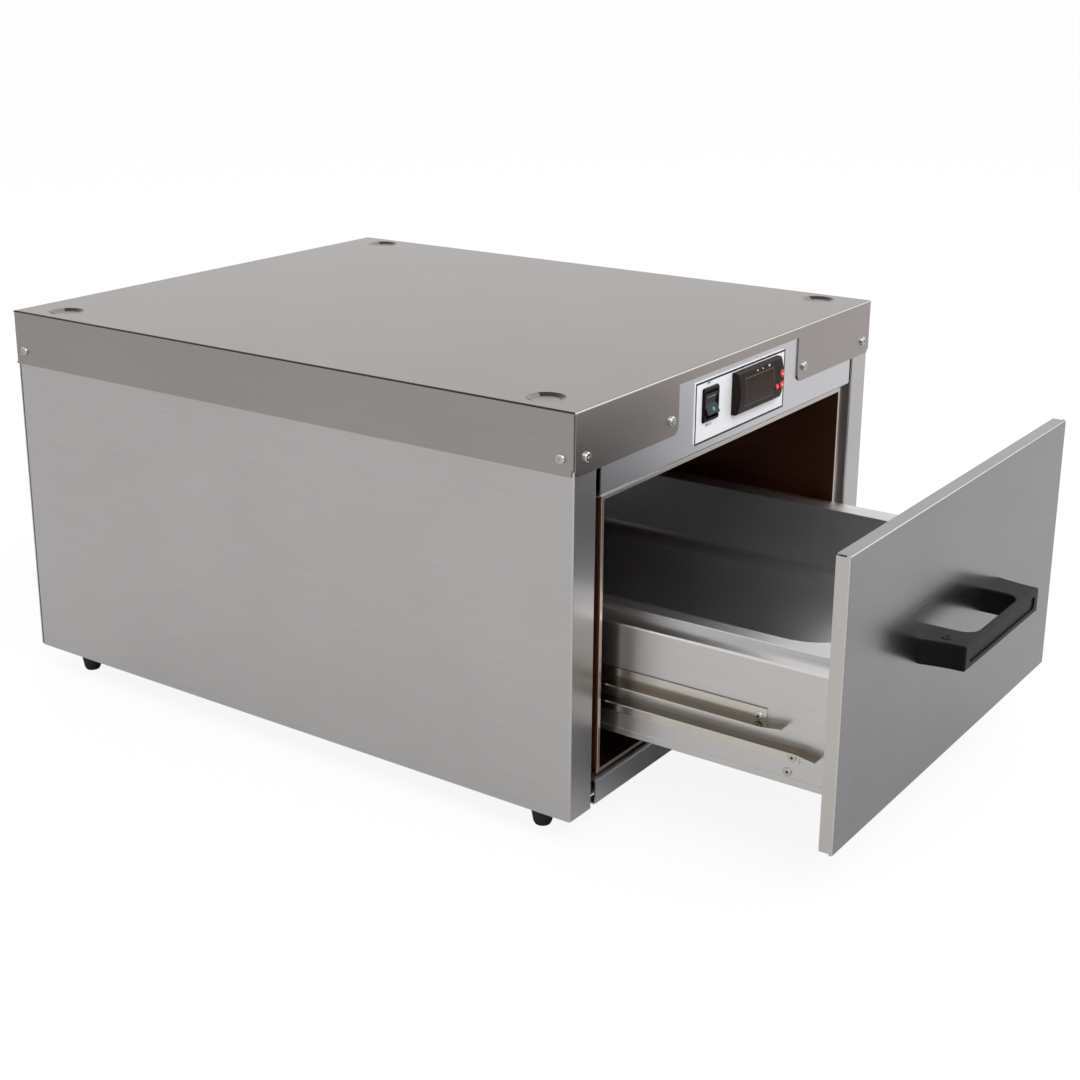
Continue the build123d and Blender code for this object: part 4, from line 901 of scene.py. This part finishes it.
@dataclass
class ControlPanel:
    """Printed plate and temperature controller."""

    finishes: Finishes
    border_width: float = 1.7 * MM
    border_inset: float = 0.15 * MM
    print_height: float = 0.06 * MM
    sign_size: float = 1.5 * MM
    sign_rise: float = 2.6 * MM  # above the display
    hook_offset: float = 9.0 * MM
    fan_offset: float = 20.0 * MM
    mark_size: float = 1.3 * MM
    mark_sink: float = 0.01 * MM
    bezel: float = 0.45 * MM
    line_lift: float = 0.05 * MM
    pane_lift: float = 0.12 * MM
    seam_lift: float = 0.03 * MM
    seam_offset: float = 1.3 * MM  # from the display's right edge
    seam_width: float = 0.55 * MM
    seam_inset: float = 2.0 * MM
    slab: float = 1.2 * MM
    brow: float = 5.0 * MM  # how far the controller's upper and lower edges stand out
    rim_round: float = 1.3 * MM
    rim_angle: float = 0.6  # in radians: sharper edges of the shell are rounded
    body_inset: float = 3.2 * MM
    body_round: float = 0.5 * MM
    well_air: float = 0.3 * MM
    well_floor: float = 0.9 * MM  # behind the button's back
    well_reach: float = 3.0 * MM
    bow_steps: int = 14

    def build(self) -> None:
        """Dress the nodes and add the border, the controller and its prints."""
        use = self.finishes
        dress(["control_plate"], use.plate)
        dress(["up_button", "down_button", "set_button"], use.button)
        self.border()
        self.housing()
        self.display()
        self.signs()
        self.button_marks()

    def border(self) -> None:
        """Print the black line near the plate's edge."""
        low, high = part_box("control_plate")
        inset = self.border_inset
        mesh = bmesh.new()
        corners = [(low.x + inset, low.z + inset), (high.x - inset, low.z + inset),
                   (high.x - inset, high.z - inset), (low.x + inset, high.z - inset)]
        face = mesh.faces.new([mesh.verts.new((x, low.y, z)) for x, z in corners])
        face.normal_update()
        bmesh.ops.inset_individual(mesh, faces=[face], thickness=self.border_width,
                                   use_even_offset=True)
        bmesh.ops.delete(mesh, geom=[face], context="FACES")
        grow(mesh, list(mesh.faces), (0, -self.print_height, 0))
        piece("plate_border", mesh, self.finishes.ink, "root")

    def face_y(self, z: float) -> float:
        """Find the controller's bowed face.

        Args:
            z: The height at which to look.

        Returns:
            How far back the face lies there.
        """
        low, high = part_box("controller_housing")
        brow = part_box("control_plate")[0].y - self.brow
        share = (z - (low.z + high.z) / 2) / ((high.z - low.z) / 2)
        return low.y + (brow - low.y) * share * share

    def bowed(self, x: tuple[float, float], z: tuple[float, float], lift: float,
              back: float | None = None) -> Mesh:
        """Make a slab whose front follows the bowed face.

        Args:
            x: Its two ends.
            z: Its lower and upper edge.
            lift: How far it stands in front of the face.
            back: Where its flat back lies, or None for a back that follows the face.

        Returns:
            The slab.
        """
        heights = [z[0] + (z[1] - z[0]) * i / self.bow_steps for i in range(self.bow_steps + 1)]
        front = [(self.face_y(h) - lift, h) for h in heights]
        if back is None:
            rear = [(y + lift + self.slab, h) for y, h in reversed(front)]
        else:
            rear = [(back, heights[-1]), (back, heights[0])]
        mesh = bmesh.new()
        face = mesh.faces.new([mesh.verts.new((x[0], y, h)) for y, h in front + rear])
        grow(mesh, [face], (x[1] - x[0], 0, 0))
        bmesh.ops.recalc_face_normals(mesh, faces=mesh.faces)
        return mesh

    def housing(self) -> None:
        """Replace the controller's housing by a bowed one with a rounded rim and three wells."""
        low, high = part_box("controller_housing")
        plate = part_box("control_plate")[0].y
        shell = self.bowed((low.x, high.x), (low.z, high.z), 0.0, back=plate)
        rim = [e for e in shell.edges
               if len(e.link_faces) == 2 and e.calc_face_angle() > self.rim_angle
               and all(v.co.y < plate - 0.1 * MM for v in e.verts)]
        soften(shell, rim, self.rim_round, 3)
        inset = self.body_inset
        body = box_mesh((low.x + inset, plate, low.z + inset),
                        (high.x - inset, high.y, high.z - inset), self.body_round)
        made = piece("controller_shell", join([shell, body]), self.finishes.housing, "root")
        for button in ("up_button", "down_button", "set_button"):
            self.cut_well(made, button)
        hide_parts("controller_housing")

    def display(self) -> None:
        """Add the display's edge line and pane, and the seam beside them."""
        low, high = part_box("controller_housing")
        pane_low, pane_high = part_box("display_window")
        edge = self.bezel
        line = self.bowed((pane_low.x - edge, pane_high.x + edge),
                          (pane_low.z - edge, pane_high.z + edge), self.line_lift)
        piece("window_line", line, self.finishes.line, "root")
        pane = self.bowed((pane_low.x, pane_high.x), (pane_low.z, pane_high.z), self.pane_lift)
        made = piece("display_pane", pane, self.finishes.window, "root")
        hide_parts("display_window")
        seam_x = pane_high.x + self.seam_offset
        seam = self.bowed((seam_x, seam_x + self.seam_width),
                          (low.z + self.seam_inset, high.z - self.seam_inset), self.seam_lift)
        piece("housing_seam", seam, self.finishes.ink, "root")

    def cut_well(self, made: bpy.types.Object, button: str) -> None:
        """Cut the well of one button in the controller's shell.

        Args:
            made: The shell.
            button: The CAD node of the button.
        """
        low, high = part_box(button)
        radius = (high.x - low.x) / 2 + self.well_air
        middle = ((low.x + high.x) / 2, high.y + self.well_floor, (low.z + high.z) / 2)
        reach = high.y - low.y + self.well_reach
        mesh = lathe([(0.0, 0.0), (radius, 0.0), (radius, reach), (0.0, reach)], middle,
                     (0, -1, 0), 40)
        bmesh.ops.recalc_face_normals(mesh, faces=mesh.faces)
        cutter = place_mesh("well", mesh)
        well = made.modifiers.new("well", "BOOLEAN")
        well.object = cutter
        well.operation = "DIFFERENCE"
        bpy.context.view_layer.update()
        depsgraph = bpy.context.evaluated_depsgraph_get()
        result = bpy.data.meshes.new_from_object(made.evaluated_get(depsgraph))
        made.modifiers.remove(well)
        old, made.data = made.data, result
        tool = cutter.data
        bpy.data.objects.remove(cutter)
        for data in (old, tool):
            bpy.data.meshes.remove(data)

    def signs(self) -> None:
        """Print three small generic signs above the display."""
        low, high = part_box("display_window")
        size = self.sign_size
        z = high.z + self.sign_rise
        x = low.x + 0.45 * (high.x - low.x)
        drop = ellipse((x, z), (size * 0.55, size * 0.9), 12)
        hook_x, fan_x = x + self.hook_offset, x + self.fan_offset
        hook = [(hook_x - size, z + size), (hook_x + size, z), (hook_x - size, z - size),
                (hook_x - size, z - size * 0.5), (hook_x + size * 0.2, z),
                (hook_x - size, z + size * 0.5)]
        fan = [(fan_x - size * 1.2, z + size), (fan_x + size * 1.2, z + size), (fan_x, z - size)]
        back = self.face_y(z) - 0.02 * MM
        marks = join([prism(outline, back, self.print_height) for outline in (drop, hook, fan)])
        piece("display_signs", marks, self.finishes.mark, "root")

    def button_marks(self) -> None:
        """Print an arrow on two buttons and a dot on the third."""
        size = self.mark_size
        for name, way in (("up_button", 1), ("down_button", -1), ("set_button", 0)):
            low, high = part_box(name)
            middle = (low + high) / 2
            if way:
                foot = middle.z - way * size * 0.7
                outline = [(middle.x - size, foot), (middle.x + size, foot),
                           (middle.x, middle.z + way * size)]
            else:
                outline = ellipse((middle.x, middle.z), (size * 0.6, size * 0.6), 16)
            mesh = prism(outline, low.y + self.mark_sink, self.print_height)
            piece(f"{name}_mark", mesh, self.finishes.mark, name)


@dataclass
class Drawer:
    """Drawer front, handle, sides, slides and pan."""

    finishes: Finishes
    plug_radius: float = 4.6 * MM
    plug_rise: float = 0.45 * MM
    plug_x: float = -66 * MM
    plug_setback: float = 15 * MM  # from the drawer's front
    mandrel_radius: float = 1.0 * MM
    mandrel_depth: float = 0.55 * MM

    def build(self) -> None:
        """Dress the nodes and add the handle's plug and the rivets' mandrels."""
        use = self.finishes
        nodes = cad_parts
        dress(["drawer_front", "drawer_front_backing"], use.front)
        dress(["handle"], use.abs)
        dress(["drawer_side_left", "drawer_side_right", "drawer_front_rail", "drawer_rear_rail",
               "front_bracket_left", "front_bracket_right"], use.drawer)
        dress(["food_pan"], use.pan)
        dress([n for n in nodes if "rail_left" in n or "rail_right" in n], use.rail)
        dress(["slide_channel_left", "slide_channel_right"], use.plated)
        dress(["slide_rivets", "handle_screws", "front_roller_studs", "rear_roller_axles"],
              use.screw)
        dress([n for n in nodes if "_roller_" in n and "studs" not in n and "axles" not in n],
              use.nylon)
        Blankets(use).replace("drawer_front_insulation", "drawer")
        self.plug()
        self.mandrels()

    def plug(self) -> None:
        """Add the round plug on the left leg of the handle."""
        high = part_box("handle")[1]
        radius, rise = self.plug_radius, self.plug_rise
        profile = [(0.0, 0.15 * MM), (radius * 0.45, 0.15 * MM), (radius * 0.55, rise),
                   (radius * 0.7, rise), (radius * 0.8, 0.1 * MM), (radius, 0.0),
                   (radius, -0.6 * MM), (0.0, -0.6 * MM)]
        place = (self.plug_x, high.y - self.plug_setback, high.z)
        made = piece("handle_plug", lathe(profile, place, (0, 0, 1)), self.finishes.abs,
                     "drawer")
        made.data.shade_smooth()

    def mandrels(self) -> None:
        """Set the broken mandrel in the hollow head of each rivet; the mandrel is real, its
        near-black colour is painted shade of the hollow.
        """
        radius = self.mandrel_radius
        profile = [(0.0, 0.3 * MM), (radius * 0.8, 0.2 * MM), (radius, 0.0), (0.0, 0.0)]
        shapes = []
        for points in self.loose_parts("slide_rivets"):
            outer = max(points, key=lambda point: abs(point.x)).x
            rim = [point for point in points if abs(point.x - outer) < 0.1 * MM]
            middle = sum(rim, Vector()) / len(rim)
            side = math.copysign(1.0, outer)
            place = (outer - side * self.mandrel_depth, middle.y, middle.z)
            shapes.append(lathe(profile, place, (side, 0, 0), 20))
        piece("rivet_mandrels", join(shapes), self.finishes.sheath, "drawer")

    def loose_parts(self, node: str) -> list[list[Vector]]:
        """Split a CAD node into its separate solids.

        Args:
            node: The CAD node.

        Returns:
            The points of each solid.
        """
        mesh = bmesh.new()
        mesh.from_mesh(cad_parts[node].data)
        found = set()
        parts = []
        for start in mesh.verts:
            if start in found:
                continue
            found.add(start)
            points, queue = [], [start]
            while queue:
                vert = queue.pop()
                points.append(vert.co.copy())
                near = [edge.other_vert(vert) for edge in vert.link_edges]
                fresh = [other for other in near if other not in found]
                found.update(fresh)
                queue += fresh
            parts.append(points)
        mesh.free()
        return parts


@dataclass
class Studio:
    """Camera, room, floor and lamps."""

    eye: Point = (-1.2323, -0.9491, 0.6607)
    heading: float = 0.6262  # from +X towards +Y, in radians
    tilt: float = 0.3015  # downwards, in radians
    focal_pixels: float = 1749.9
    shift_pixels: tuple[float, float] = (40.0, 60.0)
    sensor_mm: float = 36.0
    ambient: float = 1.0
    floor_half: float = 90.0  # so far that its edge meets the horizon
    floor_white: float = 0.9  # share of plain white that the camera sees in the floor
    lamp_aim: Point = (0, -0.2, 0.15)

    def build(self) -> None:
        """Set the stage."""
        self.camera()
        self.world()
        self.floor()
        self.lamp("key", (-1.4, -2.2, 2.6), 55.0, 2.2)
        self.lamp("fill", (2.4, -1.6, 1.8), 20.0, 2.0)
        bpy.context.scene.view_settings.view_transform = "Standard"

    def camera(self) -> None:
        """Place the camera at the photograph's viewing angle."""
        data = bpy.data.cameras.new("camera")
        data.sensor_width = self.sensor_mm
        data.lens = self.focal_pixels * self.sensor_mm / PHOTO_PIXELS
        data.shift_x = self.shift_pixels[0] / PHOTO_PIXELS
        data.shift_y = -self.shift_pixels[1] / PHOTO_PIXELS
        data.clip_start, data.clip_end = 0.05, 200.0
        camera = bpy.data.objects.new("camera", data)
        bpy.context.scene.collection.objects.link(camera)
        level = math.cos(self.tilt)
        ahead = Vector((math.cos(self.heading) * level, math.sin(self.heading) * level,
                        -math.sin(self.tilt)))
        camera.location = self.eye
        camera.rotation_euler = ahead.to_track_quat("-Z", "Y").to_euler()
        bpy.context.scene.camera = camera

    def world(self) -> None:
        """Light the room evenly and let the camera, gloss and glass see it white."""
        world = bpy.data.worlds.new("room")
        world.use_nodes = True
        tree = world.node_tree
        tree.nodes.clear()
        path = add_node(tree, "ShaderNodeLightPath").outputs
        pair = add_node(tree, "ShaderNodeMath", {0: path["Is Camera Ray"],
                                                 1: path["Is Glossy Ray"]}, operation="MAXIMUM")
        seen = add_node(tree, "ShaderNodeMath", {0: pair.outputs[0],
                                                 1: path["Is Transmission Ray"]},
                        operation="MAXIMUM")
        room, white = (add_node(tree, "ShaderNodeBackground", {
            "Color": (1, 1, 1, 1), "Strength": strength}) for strength in (self.ambient, 1.0))
        mixed = add_node(tree, "ShaderNodeMixShader", {0: seen.outputs[0], 1: room.outputs[0],
                                                       2: white.outputs[0]})
        add_node(tree, "ShaderNodeOutputWorld", {"Surface": mixed.outputs[0]})
        bpy.context.scene.world = world

    def floor(self) -> None:
        """Lay the pale floor, which fades to white for the camera and keeps a soft shadow."""
        mesh = bmesh.new()
        bmesh.ops.create_grid(mesh, x_segments=1, y_segments=1, size=self.floor_half)
        floor = place_mesh("floor", mesh)
        # Matt white paper, which lights the steel from below as a plain grey
        material = bpy.data.materials.new("matt_paper_sweep")
        material.use_nodes = True
        tree = material.node_tree
        shader = tree.nodes["Principled BSDF"]
        seen = add_node(tree, "ShaderNodeLightPath").outputs["Is Camera Ray"]
        paper = add_node(tree, "ShaderNodeMix", {"Factor": seen, MIX_A: linear("C4C4C4"),
                                                 MIX_B: linear("F3F3F3")}, data_type="RGBA")
        tree.links.new(paper.outputs[MIX_RESULT], shader.inputs["Base Color"])
        shader.inputs["Roughness"].default_value = 0.9
        shader.inputs["Specular IOR Level"].default_value = 0.0
        white = add_node(tree, "ShaderNodeEmission", {"Color": (1, 1, 1, 1), "Strength": 1.0})
        share = add_node(tree, "ShaderNodeMath", {0: seen, 1: self.floor_white},
                         operation="MULTIPLY")
        mixed = add_node(tree, "ShaderNodeMixShader", {0: share.outputs[0], 1: shader.outputs[0],
                                                       2: white.outputs[0]})
        tree.links.new(mixed.outputs[0], tree.nodes["Material Output"].inputs["Surface"])
        floor.data.materials.append(material)

    def lamp(self, name: str, place: Point, power: float, size: float) -> None:
        """Hang a square soft lamp that points at the drawer.

        Args:
            name: The lamp's name.
            place: Where it hangs.
            power: Its power in watts.
            size: Its side.
        """
        data = bpy.data.lights.new(name, "AREA")
        data.energy = power
        data.size = size
        lamp = bpy.data.objects.new(name, data)
        bpy.context.scene.collection.objects.link(lamp)
        lamp.location = place
        aim = Vector(self.lamp_aim) - Vector(place)
        lamp.rotation_euler = aim.to_track_quat("-Z", "Y").to_euler()


def main() -> None:
    """Build every sub-assembly in order."""
    logging.basicConfig(level=logging.INFO, format="%(name)s: %(message)s")
    finishes = Finishes()
    for part in (Cabinet(finishes), PowerSwitch(finishes), ControlPanel(finishes),
                 Drawer(finishes), Studio()):
        part.build()


if __name__ == "__main__":
    main()
